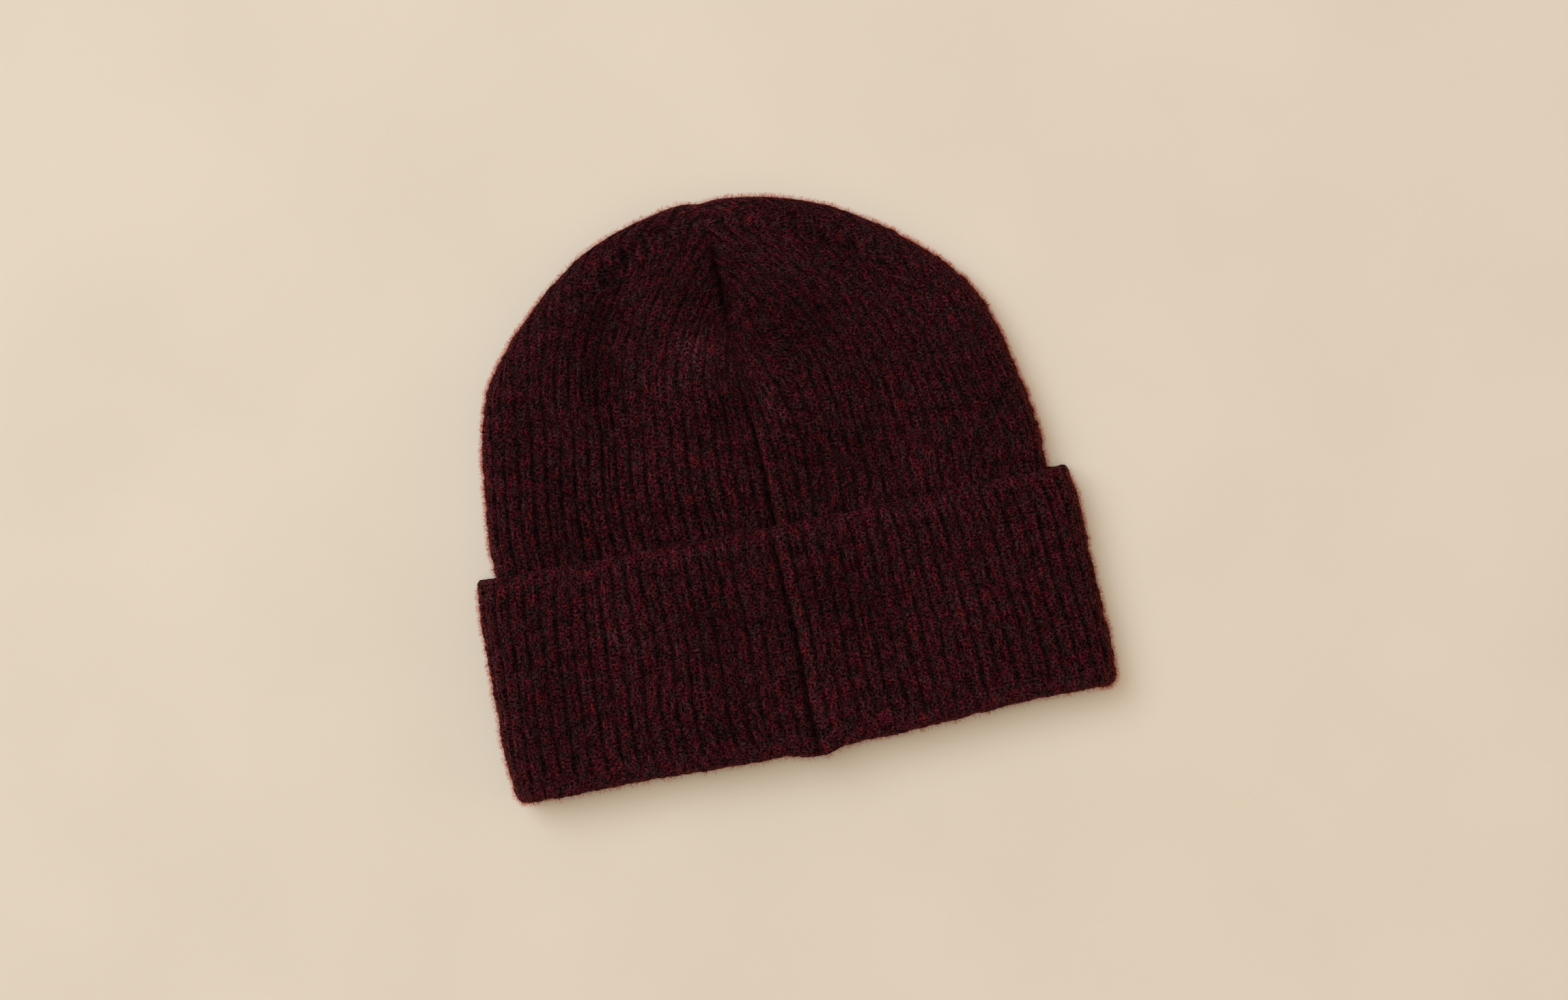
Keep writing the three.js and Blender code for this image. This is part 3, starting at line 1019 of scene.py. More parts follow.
@dataclass
class Crown(KnitPiece):
    """The knitted bag, open at the mouth and closed by four darts.

    The ribs lean into the darts by bend, and the one at tip_rib, a share of a quarter round,
    runs on to the tip. The tip sizes shape the gathered end, the dart ones its grooves and the
    shade painted along them, lean is how the ribs beside the seam lean under it, and the nap
    hides the knit by felted from felted_heights on and by worn towards the right.
    """

    name: str = "crown_knit"
    knit: Knit = CROWN_KNIT
    seed: int = 11
    flat_size: tuple[float, float] = (0.45, 0.2)
    flat_area: float = 0.0765
    joins: tuple[tuple[int, int, bool], ...] = ((0, 0, True),)
    covered_rows: int = 4
    fibre_rows: tuple[int, int | None] = (5, None)
    draw_heights: tuple[float, float] = (84.0, 150.0)
    draws: tuple[float, float] = (0.026, -0.012)
    wander: float = 0.13
    wander_length: float = 26.0
    rows_in_cuff: tuple[float, ...] = (CROWN_FOOT, 20.0, 40.0, 60.0, 74.0)
    first_level: float = 78.0
    straight_top: float = 120.0
    fan_rows: float = 1.06
    fan_slowing: float = 0.12
    inside_row_step: int = 6
    valley_depth: float = 0.8
    dart_start: float = 129.3
    bend: float = 0.00638
    bend_length: float = 50.0
    dart_ease: float = 1.4
    tip_rib: float = 0.4
    tip_rows: int = 6
    tip_heights: tuple[float, float] = (192.0, 200.0)
    tip_dip: Bell = Bell(-5.0, 3.5, 0.7)
    tip_bump: Bell = Bell(-15.0, 6.0, 0.45)
    dart_open: Bell = Bell(172.0, 15.5)
    dart_line: Bell = Bell(0.0, 1.5, 1.3)
    dart_depth: tuple[float, float] = (0.4, 1.6)
    side_dart_depth: float = 0.3
    rib_lean: Bell = Bell(6.0, 11.0, 1.1)
    lean_from: tuple[float, float] = (106.0, 140.0)
    lean_until: tuple[float, float] = (146.0, 168.0)
    seam_fade: tuple[float, float] = (138.0, 116.0)
    felted_heights: tuple[float, float] = (118.0, 150.0)
    felted_relief: float = 0.65
    worn_relief: float = 0.95
    worn_change: float = 0.2
    worn_x: float = 5.0
    worn_width: float = 25.0
    sections: Sections = field(init=False)
    quarter_at_start: float = field(init=False)
    lean: float = field(init=False)

    def __post_init__(self) -> None:
        """Sets the rings: inside the cuff they follow it, and above it they are the crown's."""
        cuff = Sections(CUFF_SECTIONS)
        inwards = CUFF_KNIT.wall + CLEARANCE
        rows = []
        for row in CROWN_IN_CUFF:
            ring = {name: float(value) for name, value in cuff.at(np.array(row.y)).items()}
            rows.append(
                Section(
                    y=row.y,
                    seam=row.seam,
                    left=ring["left"] - ring["seam"] + row.seam - inwards - row.room,
                    right=ring["right"] + ring["seam"] - row.seam - inwards - row.room,
                    side=ring["side"],
                    upper=ring["upper"] - inwards,
                    lower=ring["lower"] - inwards,
                    rise=ring["rise"],
                    edge=ring["edge"] - inwards,
                )
            )
        self.sections = Sections((*rows, *CROWN_SECTIONS))
        self.quarter_at_start = float(self.quarter(np.array(self.dart_start)))
        at_tip = float(self.bent(np.array(HEIGHT)))
        self.lean = self.tip_rib * self.quarter_at_start / at_tip + self.dart_ease * self.tip_rib

    def quarter(self, y: Array) -> Array:
        """Length round an average quarter of the crown.

        Args:
            y: heights.
        Returns:
            Lengths at those heights.
        """
        ring = self.sections.at(y)
        reach = (ring["left"] + ring["right"]) / 2
        _, straight, arc = quarter_lengths(reach, ring["upper"], ring["edge"])
        return straight + arc

    def bent(self, y: Array) -> Array:
        """How far a rib has bent over: by a square at first, then straight on.

        Args:
            y: heights.
        Returns:
            Distances at those heights.
        """
        past = np.maximum(0, y - self.dart_start)
        straight_on = self.bend_length * (2 * past - self.bend_length)
        return self.bend * np.where(past < self.bend_length, past**2, straight_on)

    def rib_distance(self, rib: Array, y: Array) -> Array:
        """Distance of a rib from the middle line, round the crown, above the darts' start."""
        return rib * self.quarter_at_start - self.bent(y) * (self.lean - self.dart_ease * rib)

    def rib_ends(self, rib: Array) -> Array:
        """Heights at which ribs run into a dart, by halving the stretch that holds the end.

        Args:
            rib: the ribs, from 0 at the middle to 1 at the side.
        Returns:
            The heights.
        """
        low = np.full(rib.shape, self.dart_start)
        high = np.full(rib.shape, HEIGHT)
        for _ in range(40):
            y = (low + high) / 2
            distance = self.rib_distance(rib, y)
            runs_on = (distance > 0) & (distance < self.quarter(y))
            low = np.where(runs_on, y, low)
            high = np.where(runs_on, high, y)
        return np.where(np.isclose(rib, self.tip_rib), HEIGHT, high)

    def heights(self) -> Array:
        """Heights of the grid: level rows first, then fanning into the darts, a little closer
        together towards them.

        Returns:
            Heights, rows by columns.
        """
        level = np.arange(self.first_level, self.straight_top, self.row_step)
        ends = self.rib_ends(self.columns.rib)
        count = round((HEIGHT - self.straight_top) / self.row_step * self.fan_rows)
        part = np.linspace(0, 1, count + 1)
        part = part * (1 - self.fan_slowing * part) / (1 - self.fan_slowing)
        fan = self.straight_top + part[:, None] * (ends - self.straight_top)[None, :]
        below = np.concatenate([self.rows_in_cuff, level])[:, None]
        return np.concatenate([below + 0 * ends[None, :], fan])

    def tube(self) -> Tube:
        """The smooth crown. In the last row, columns that meet in a dart share their points.
        Its knit shows less to the right, by a hyperbolic tangent, and less again felted.

        Returns:
            The tube.
        """
        y = self.heights()
        columns = self.columns
        rib = np.broadcast_to(columns.rib, y.shape)
        leaning = self.rib_distance(rib, y) / np.maximum(self.quarter(y), TINY)
        part = np.where(y > self.dart_start, leaning, rib)
        part[-1] = np.where(columns.rib > self.tip_rib, 1, 0)
        smooth = ring_points(self.sections, columns, y, np.clip(part, 0, 1))
        bumps, nap = patch_fields(CROWN_PATCHES, self.sections, columns, smooth)
        smooth[..., 2] += bumps
        steps = np.linalg.norm(np.diff(smooth, axis=0), axis=-1)
        along = np.concatenate([np.zeros((1, columns.count)), np.cumsum(steps, axis=0)])
        smooth[..., 1] += hem_shift(columns) * np.maximum(0, 1 - y / CUFF_TOP)
        x, y = smooth[..., 0], smooth[..., 1]
        y += ramp(y, *self.tip_heights) * (self.tip_bump.at(x) - self.tip_dip.at(x))
        felted = np.interp(y, self.felted_heights, [1.0, self.felted_relief])
        worn = self.worn_relief - self.worn_change * np.tanh((x - self.worn_x) / self.worn_width)
        return Tube(
            smooth=smooth,
            ids=self.point_ids(y.shape),
            courses=along / self.knit.course,
            free=ramp(smooth[..., 2], 0, REST_HEIGHT),
            shown=worn * felted,
            nap=nap,
        )

    def point_ids(self, size: tuple[int, int]) -> Array:
        """Point numbers of the grid. Columns that end in the same place of a dart share one.

        Args:
            size: rows and columns.
        Returns:
            The numbers, rows by columns.
        """
        count = self.columns.count
        ids = np.arange(size[0] * count).reshape(size[0], count)
        column = np.arange(count)
        turn, rib = self.columns.turn, self.columns.rib
        middle = np.where(turn > 2, count - column, column) % count
        side = np.where((turn > 1) & (turn <= 2), count // 2 - column, column)
        side = np.where((turn > 2) & (turn < 3), 3 * count // 2 - column, side) % count
        partner = np.where(rib < self.tip_rib, middle, side)
        tip = round(self.tip_rib * count / 4)
        ids[-1] = ids[-1, np.where(np.isclose(rib, self.tip_rib), tip, partner)]
        return ids

    def rib_places(self, tube: Tube) -> Array:
        """Places round the crown in ribs. Beside the seam the ribs lean under the tip.

        Args:
            tube: the smooth crown.
        Returns:
            The places on its grid.
        """
        x, y = tube.smooth[..., 0], tube.smooth[..., 1]
        ribs = np.broadcast_to(self.columns.turn, y.shape) * self.knit.ribs_round / 4
        leaning = self.rib_lean.at(x) * ramp(y, *self.lean_from) * (1 - ramp(y, *self.lean_until))
        leaning = np.where(self.columns.is_upper, leaning, 0)
        return ribs + self.draw_in(y) + leaning + self.stray(ribs, y)

    def dress(
        self, tube: Tube, normals: Array, ribs: Array, relief: Relief
    ) -> tuple[Array, Array, Array]:
        """What the felting, the seam and the darts make of the knit's relief.

        Args:
            tube, normals, ribs, relief: the smooth crown and its knit.
        Returns:
            Heights over the smooth crown, how sunk its places look, and painted light and shade.
        """
        is_upper = self.columns.is_upper
        x, y = tube.smooth[..., 0], tube.smooth[..., 1]
        sides = at_sides(normals)
        strength = tube.shown * sides
        sunk = relief.sunk * strength + 0.5 * (1 - strength)
        seam, light = seam_fields(ribs, ramp(y, *self.seam_fade))
        # Painted shade along the darts' middle line, strongest where the dart opens.
        in_dart = np.where(is_upper, self.dart_open.at(y), self.side_dart_depth)
        to_middle = self.dart_line.at(x - self.sections.column("seam", y))
        light = np.where(is_upper, light - to_middle * in_dart * (y > self.dart_start), 0)
        depth = relief.height * strength + seam + tufts(ribs, tube.courses, self.seed, sides)
        least, most = self.dart_depth
        in_dart = np.where(
            self.columns.rib < self.tip_rib,
            -least - most * self.dart_open.at(y[-1]),
            -self.side_dart_depth,
        )
        rows = self.tip_rows
        share = (np.linspace(1, 0, rows) ** 2)[:, None]
        depth[-rows:] = depth[-rows:] * share + in_dart * (1 - share)
        return depth, sunk, light

    def inner_skin(self, tube: Tube, surface: Surface) -> Skin:
        """The inside of the wall, thinner where it shows the back of a valley.

        Args:
            tube, surface: the piece's grid.
        Returns:
            The skin, on some rows of the grid and every second column.
        """
        rows, count = tube.ids.shape
        taken = np.unique(np.append(np.arange(0, rows, self.inside_row_step), rows - 1))
        grid = tube.ids[taken][:, :: self.inside_step]
        used, ids = np.unique(grid, return_inverse=True)
        row, column = np.divmod(used, count)
        out = surface.normals.reshape(-1, 3)[used]
        at_foot = row == 0
        out[at_foot, 1] = 0
        out[at_foot] = unit(out[at_foot])
        ribs = surface.ribs.reshape(-1)[used]
        in_valley = np.abs(2 * ((ribs + 0.5) % 1) - 1) ** 3
        depth = self.knit.wall - self.valley_depth * in_valley
        start, reach = INSIDE_UP
        return Skin(
            points=tube.smooth.reshape(-1, 3)[used] - out * depth[:, None],
            ids=ids.reshape(grid.shape),
            faces_back=True,
            column=column / count,
            ribs=ribs,
            length=tube.courses.reshape(-1)[used] * self.knit.course,
            up=start + reach * row / (rows - 1),
            values={
                "sunk": surface.sunk.reshape(-1)[used],
                "tone": surface.tone.reshape(-1)[used],
                "nap": surface.nap.reshape(-1)[used],
                "hidden": np.ones(len(used)),
                "lie": -out,
            },
        )


@dataclass
class Cuff(KnitPiece):
    """The turned-up lower end of the knit: a wall, its free edge, and the fold at the mouth.

    The sizes are those of the fold, the free edge with its band of lighter nap and the shade
    painted over its rounded lip, and the back, whose knit map starts at back_start.
    """

    name: str = "cuff_knit"
    knit: Knit = CUFF_KNIT
    seed: int = 23
    flat_size: tuple[float, float] = (0.45, 0.092)
    flat_area: float = 0.0414
    joins: tuple[tuple[int, int, bool], ...] = ((-1, 0, False), (0, -1, True))
    covered_rows: int = 0
    fibre_rows: tuple[int, int | None] = (2, -7)
    draw_heights: tuple[float, float] = (0.0, CUFF_TOP)
    draws: tuple[float, float] = (0.026, -0.022)
    wander: float = 0.15
    wander_length: float = 24.0
    fold_rows: int = 18
    fold_relief: float = 0.3
    fold_fade: float = 6.0
    edge_rows: int = 5
    edge_radius: float = 1.7
    edge_relief: float = 0.22
    edge_loss: float = 0.75
    edge_fade: float = 6.5
    edge_band: Bell = Bell(CUFF_TOP - 3.5, 3.6, 0.14)
    edge_shade: tuple[float, float] = (0.1, 0.45)
    seam_fade: tuple[float, float] = (CUFF_TOP - 1, CUFF_TOP - 7)
    seam_rise: tuple[float, float] = (1.0, 10.0)
    seam_at_fold: float = 0.35
    inside_rows: int = 14
    inside_bevel: float = 0.5
    inside_top: float = 1.6
    back_start: float = 90.0
    sections: Sections = field(default_factory=lambda: Sections(CUFF_SECTIONS))

    def profile(self) -> Array:
        """The wall's outline as height, depth, ribs and distance, from the lip of the fold,
        round the fold, up the wall and over the free edge.

        The fold is half a circle, and the edge a quarter of one. ribs says how much of the
        ribs' relief shows.

        Returns:
            The outline, rows by 4.
        """
        angle = math.pi * (1 - np.arange(self.fold_rows) / self.fold_rows)
        fold = [
            FOLD_RADIUS * (1 - np.sin(angle)),
            FOLD_RADIUS * (1 - np.cos(angle)),
            self.fold_relief + 0 * angle,
        ]
        wall_y = np.arange(FOLD_RADIUS, CUFF_TOP - self.edge_radius, self.row_step)
        fading = 1 - self.edge_loss * ramp(wall_y, CUFF_TOP - self.edge_fade, CUFF_TOP)
        at_fold = ramp(wall_y, FOLD_RADIUS, FOLD_RADIUS + self.fold_fade)
        fading = fading * (self.fold_relief + (1 - self.fold_relief) * at_fold)
        wall = [wall_y, 0 * wall_y, fading]
        turn = np.linspace(0, math.pi / 2, self.edge_rows)
        edge = [
            CUFF_TOP - self.edge_radius * (1 - np.sin(turn)),
            self.edge_radius * (1 - np.cos(turn)),
            self.edge_relief + 0 * turn,
        ]
        rows = np.concatenate([np.stack(part, 1) for part in (fold, wall, edge)])
        steps = np.linalg.norm(np.diff(rows[:, :2], axis=0), axis=1)
        return np.column_stack([rows, np.concatenate([[0], np.cumsum(steps)])])

    def grid(self, y: Array, depth: Array) -> tuple[Array, Array]:
        """Points of the cuff at heights and depths under its outer surface, and the rings'
        outward directions.

        Args:
            y, depth: one for each row.
        Returns:
            Points and directions, rows by columns by 3.
        """
        columns = self.columns
        level = np.maximum(y, FOLD_RADIUS)[:, None] + 0 * columns.turn[None, :]
        part = np.broadcast_to(columns.rib, level.shape)
        ring = ring_points(self.sections, columns, level, part)
        along = np.roll(ring, -1, axis=1) - np.roll(ring, 1, axis=1)
        out = unit(np.stack([-along[..., 2], 0 * along[..., 0], along[..., 0]], -1))
        points = ring - out * depth[:, None, None]
        share = np.clip(y / CUFF_TOP, 0, 1)[:, None]
        rise = CUFF_TOP_RISE * columns.rib**2
        points[..., 1] = y[:, None] + hem_shift(columns) * (1 - share) + rise * share
        return points, out

    def tube(self) -> Tube:
        """The smooth cuff.

        Returns:
            The tube.
        """
        y, depth, shown, distance = self.profile().T
        smooth, _ = self.grid(y, depth)
        size = smooth.shape[:2]
        free = ramp(smooth[..., 2] - 0.2 * depth[:, None], 0, REST_HEIGHT)
        bumps, nap = patch_fields(CUFF_PATCHES, self.sections, self.columns, smooth)
        smooth[..., 2] += bumps
        return Tube(
            smooth=smooth,
            ids=np.arange(size[0] * size[1]).reshape(size),
            courses=np.broadcast_to(distance[:, None] / self.knit.course, size),
            free=free,
            shown=shown[:, None],
            nap=nap + self.edge_band.at(smooth[..., 1]),
        )

    def rib_places(self, tube: Tube) -> Array:
        """Places round the cuff in ribs.

        Args:
            tube: the smooth cuff.
        Returns:
            The places on its grid.
        """
        y = tube.smooth[..., 1]
        ribs = np.broadcast_to(self.columns.turn, y.shape) * self.knit.ribs_round / 4
        ribs = ribs + self.draw_in(y)
        return ribs + self.stray(ribs, y)

    def dress(
        self, tube: Tube, normals: Array, ribs: Array, relief: Relief
    ) -> tuple[Array, Array, Array]:
        """What the seam, the fold and the free edge make of the knit's relief.

        Args:
            tube, normals, ribs, relief: the smooth cuff and its knit.
        Returns:
            Heights over the smooth cuff, how sunk its places look, and painted light and shade.
        """
        y = tube.smooth[..., 1]
        sides = at_sides(normals)
        sunk = relief.sunk * tube.shown * sides + 0.5 * (1 - sides)
        fade = ramp(y, *self.seam_fade) * np.where(self.columns.is_upper, 1, 0)
        seam, light = seam_fields(ribs, fade)
        # Painted shade, deeper as the free edge rolls over towards the back.
        light[-self.edge_rows :] -= np.linspace(*self.edge_shade, self.edge_rows)[:, None]
        seam = seam * (self.seam_at_fold + (1 - self.seam_at_fold) * ramp(y, *self.seam_rise))
        depth = relief.height * tube.shown * sides + seam
        return depth + tufts(ribs, tube.courses, self.seed, sides), sunk, light

    def lie(self, normals: Array) -> Array:
        """The normals, with the free edge's as those of the wall beside it."""
        rows = self.edge_rows + 1
        return np.concatenate([normals[:-rows], np.repeat(normals[-rows - 1 : -rows], rows, axis=0)])

    def inner_skin(self, tube: Tube, surface: Surface) -> Skin:
        """The plain back of the wall, from the free edge down to the lip of the fold.

        Args:
            tube, surface: the piece's grid; not used.
        Returns:
            The skin, on rows of its own and every second column.
        """
        wall = self.knit.wall
        bevel = self.inside_bevel
        down = np.linspace(CUFF_TOP - self.inside_top, LIP, self.inside_rows)
        y = np.concatenate([[CUFF_TOP - bevel], down, [LIP]])
        depth = np.concatenate([[wall - bevel], np.full(len(down), wall), [2 * FOLD_RADIUS]])
        points, out = (part[:, :: self.inside_step] for part in self.grid(y, depth))
        rows, count = points.shape[:2]
        row, column = np.divmod(np.arange(rows * count), count)
        start, reach = INSIDE_UP
        return Skin(
            points=points.reshape(-1, 3),
            ids=np.arange(rows * count).reshape(rows, count),
            faces_back=False,
            column=column / count,
            ribs=column / count * self.knit.ribs_round,
            length=self.back_start + y[row],
            up=start + reach * row / (rows - 1),
            values={
                "sunk": np.zeros(rows * count),
                "tone": np.full(rows * count, 0.5),
                "nap": np.zeros(rows * count),
                "hidden": np.ones(rows * count),
                "lie": -out.reshape(-1, 3),
            },
        )


# ---------------------------------------------------------------- Loose fibres


@dataclass(frozen=True)
class Fibres:
    """Loose wool fibres that stand on a knitted surface, as thin closed three-sided tubes.

    points counts the points along a fibre, length and lift are their least and most, curl is
    how much a heading turns on the way, and rim is 0 for fibres all over the surface, and more
    for fibres that gather where it faces sideways. tipward is how many more stand where it faces
    the tip, in_valley how many fewer in a valley, and underneath the share of them where the
    normal's upward part is below underneath_from.
    """

    name: str
    count: int
    seed: int
    points: int = 5
    length: tuple[float, float] = (2.0, 5.5)
    radius: float = 0.04
    lift: tuple[float, float] = (0.2, 0.9)
    curl: float = 1.8
    rim: float = 0.0
    tipward: float = 0.0
    root_depth: float = 0.12
    least_height: float = 0.15
    taper: float = 0.5
    in_valley: float = 0.5
    underneath: float = 0.1
    underneath_from: float = -0.55

    def build(self, surface: Surface, material: bpy.types.Material) -> bpy.types.Object:
        """Grows the fibres.

        Each starts at a random place of the surface. Its heading along the surface turns at a
        random rate, and its height over the surface follows a sine: some fibres bend back
        down, the others end free.

        Args:
            surface: where they stand.
            material: their finish.
        Returns:
            The object.
        """
        rng = np.random.default_rng(self.seed)
        base, normal, across, along, tone = self.roots(surface, rng)
        single = (self.count, 1)
        t = np.linspace(0, 1, self.points)[None, :]
        length = rng.uniform(*self.length, single)
        heading = rng.uniform(0, 2 * math.pi, single)
        heading = heading + rng.normal(0, self.curl, single) * t
        heading = heading + rng.normal(0, 0.4 * self.curl, single) * np.sin(2 * math.pi * t)
        step = length / (self.points - 1)
        u, v = (
            np.concatenate([np.zeros(single), np.cumsum(ahead * step, 1)[:, :-1]], 1)
            for ahead in (np.cos(heading), np.sin(heading))
        )
        least, most = self.lift
        lift = least + (most - least) * rng.uniform(0, 1, single) ** 2
        comes_back = rng.uniform(0, 1, single) < 0.5
        rising = np.where(comes_back, np.sin(math.pi * t), np.sin(math.pi / 2 * t))
        w = lift * rising - self.root_depth
        line = (
            base[:, None]
            + across[:, None] * u[..., None]
            + along[:, None] * v[..., None]
            + normal[:, None] * w[..., None]
        )
        line[..., 2] = np.maximum(line[..., 2], self.least_height)
        return make_object(self.name, self.tubes(line, normal, tone, rng), material)

    def roots(self, surface: Surface, rng: np.random.Generator) -> tuple[Array, ...]:
        """Random places on the surface.

        The chance of a place goes by its area, less in a valley and much less underneath. With
        a rim it goes too by a bell of the normal's upward part.

        Args:
            surface: where the fibres stand.
            rng: gives the random numbers.
        Returns:
            The places, the directions out, across and along there, and the yarn's tone.
        """
        points = surface.points
        right = np.roll(points, -1, axis=1) - points
        up = np.diff(points, axis=0)
        area = np.linalg.norm(np.cross(right[:-1], up), axis=-1)
        facing = surface.normals[:-1, :, 2]
        weight = area * (1 - self.in_valley * surface.sunk[:-1])
        weight = weight * np.where(facing < self.underneath_from, self.underneath, 1.0)
        weight = weight * np.exp(-self.rim * facing**2)
        weight = weight * (1 + self.tipward * np.maximum(0, surface.normals[:-1, :, 1]))
        pick = rng.choice(weight.size, self.count, p=(weight / weight.sum()).ravel())
        at = np.divmod(pick, weight.shape[1])
        place = rng.uniform(0, 1, (self.count, 2))
        base = points[at] + right[at] * place[:, :1] + up[at] * place[:, 1:]
        normal = surface.normals[at]
        across = unit(right[at] - normal * np.sum(right[at] * normal, 1, keepdims=True))
        return base, normal, across, np.cross(normal, across), surface.tone[at]

    def tubes(self, line: Array, normal: Array, tone: Array, rng: np.random.Generator) -> Shape:
        """Closed tubes along the lines, thinner to one last point.

        Args:
            line: points of each fibre's middle line.
            normal: the surface's normal at each fibre's root.
            tone: the yarn's tone there.
            rng: gives the random numbers.
        Returns:
            All tubes as one shape.
        """
        count, rings = self.count, self.points - 1
        ahead = unit(np.gradient(line, axis=1))
        beside = unit(np.cross(normal[:, None], ahead))
        over = np.cross(ahead, beside)
        taper = 1 - self.taper * np.arange(rings)[None, :] / rings
        radius = self.radius * rng.uniform(0.7, 1.25, (count, 1)) * taper
        turn = 2 * math.pi * np.arange(3) / 3 + math.pi / 2
        ring = (
            beside[:, :rings, None] * np.cos(turn)[None, None, :, None]
            + over[:, :rings, None] * np.sin(turn)[None, None, :, None]
        )
        around = line[:, :rings, None] + ring * radius[..., None, None]
        size = 3 * rings + 1
        points = np.concatenate([around.reshape(count, 3 * rings, 3), line[:, -1:]], 1)
        ids = np.arange(count)[:, None, None] * size + np.arange(3 * rings).reshape(rings, 3)
        tip = np.broadcast_to(np.arange(count)[:, None] * size + size - 1, (count, 3))
        tips = np.stack([ids[:, -1], np.roll(ids[:, -1], -1, axis=1), tip], -1).reshape(-1, 3)
        quads = tube_quads(ids)
        triangles = np.concatenate([ids[:, 0, ::-1], tips])
        shade = rng.uniform(0, 1, count)
        values = {"tone": np.repeat(tone, size), "shade": np.repeat(shade, size)}
        corners, _ = face_corners(quads, triangles)
        fibre, place = np.divmod(corners, size)
        uv = np.stack([shade[fibre], 0.9 * tone[fibre] + 0.1 * (place // 3) / rings], 1)
        uv = 0.02 + 0.96 * uv
        return Shape(points.reshape(-1, 3), quads, triangles, uv, uv, values)


# ---------------------------------------------------------------- Finishes


def srgb(code: str) -> tuple[float, float, float, float]:
    """Turns an sRGB hex colour to linear light, with full cover.

    Args:
        code: the colour, as # and six digits.
    Returns:
        Red, green, blue and cover from 0 to 1.
    """
    parts = [int(code[i : i + 2], 16) / 255 for i in (1, 3, 5)]
    linear = [p / 12.92 if p <= 0.04045 else ((p + 0.055) / 1.055) ** 2.4 for p in parts]
    return (*linear, 1.0)


def add_node(
    tree: bpy.types.NodeTree,
    kind: str,
    inputs: dict | tuple = (),
    output: int | str = 0,
    stops: tuple[tuple[float, str], ...] = (),
    **settings: object,
) -> Socket | None:
    """Adds a node with its settings and links.

    Args:
        tree: where to.
        kind: the node's type, without the words that all types start with.
        inputs: sockets to link and constants to set, in order, or by name or number.
        output: which of its outputs is wanted.
        stops: places and sRGB hex colours of a colour ramp.
        settings: properties of the node.
    Returns:
        The wanted output's socket, or None from a node without outputs.
    """
    node = tree.nodes.new(f"ShaderNode{kind}")
    for name, value in settings.items():
        setattr(node, name, value)
    for place, value in inputs.items() if isinstance(inputs, dict) else enumerate(inputs):
        if isinstance(value, Socket):
            tree.links.new(value, node.inputs[place])
        else:
            node.inputs[place].default_value = value
    if stops:
        elements = node.color_ramp.elements
        elements.remove(elements[-1])
        elements[0].position, elements[0].color = stops[0][0], srgb(stops[0][1])
        for place, code in stops[1:]:
            elements.new(place).color = srgb(code)
    return node.outputs[output] if len(node.outputs) else None


def new_material(name: str) -> tuple[bpy.types.Material, NodeAdder]:
    """An empty node material, and what adds a node to it.

    Args:
        name: the material's name.
    Returns:
        The material, and add_node with the material's node tree filled in.
    """
    material = bpy.data.materials.new(name)
    material.use_nodes = True
    material.node_tree.nodes.clear()
    return material, partial(add_node, material.node_tree)


@dataclass(frozen=True)
class Pattern:
    """Flat noise on the knit: the size of its features in millimetres, how many finer layers
    it has and how strong, how far it's bent, and whether it's drawn out along the ribs."""

    size: float
    detail: float
    roughness: float
    distortion: float = 0.0
    is_drawn: bool = False


@dataclass(frozen=True)
class Edge:
    """A painted highlight where the surface turns away from the view: from which turn on, how steeply,
    how much.
    """

    blend: float
    power: float
    most: float


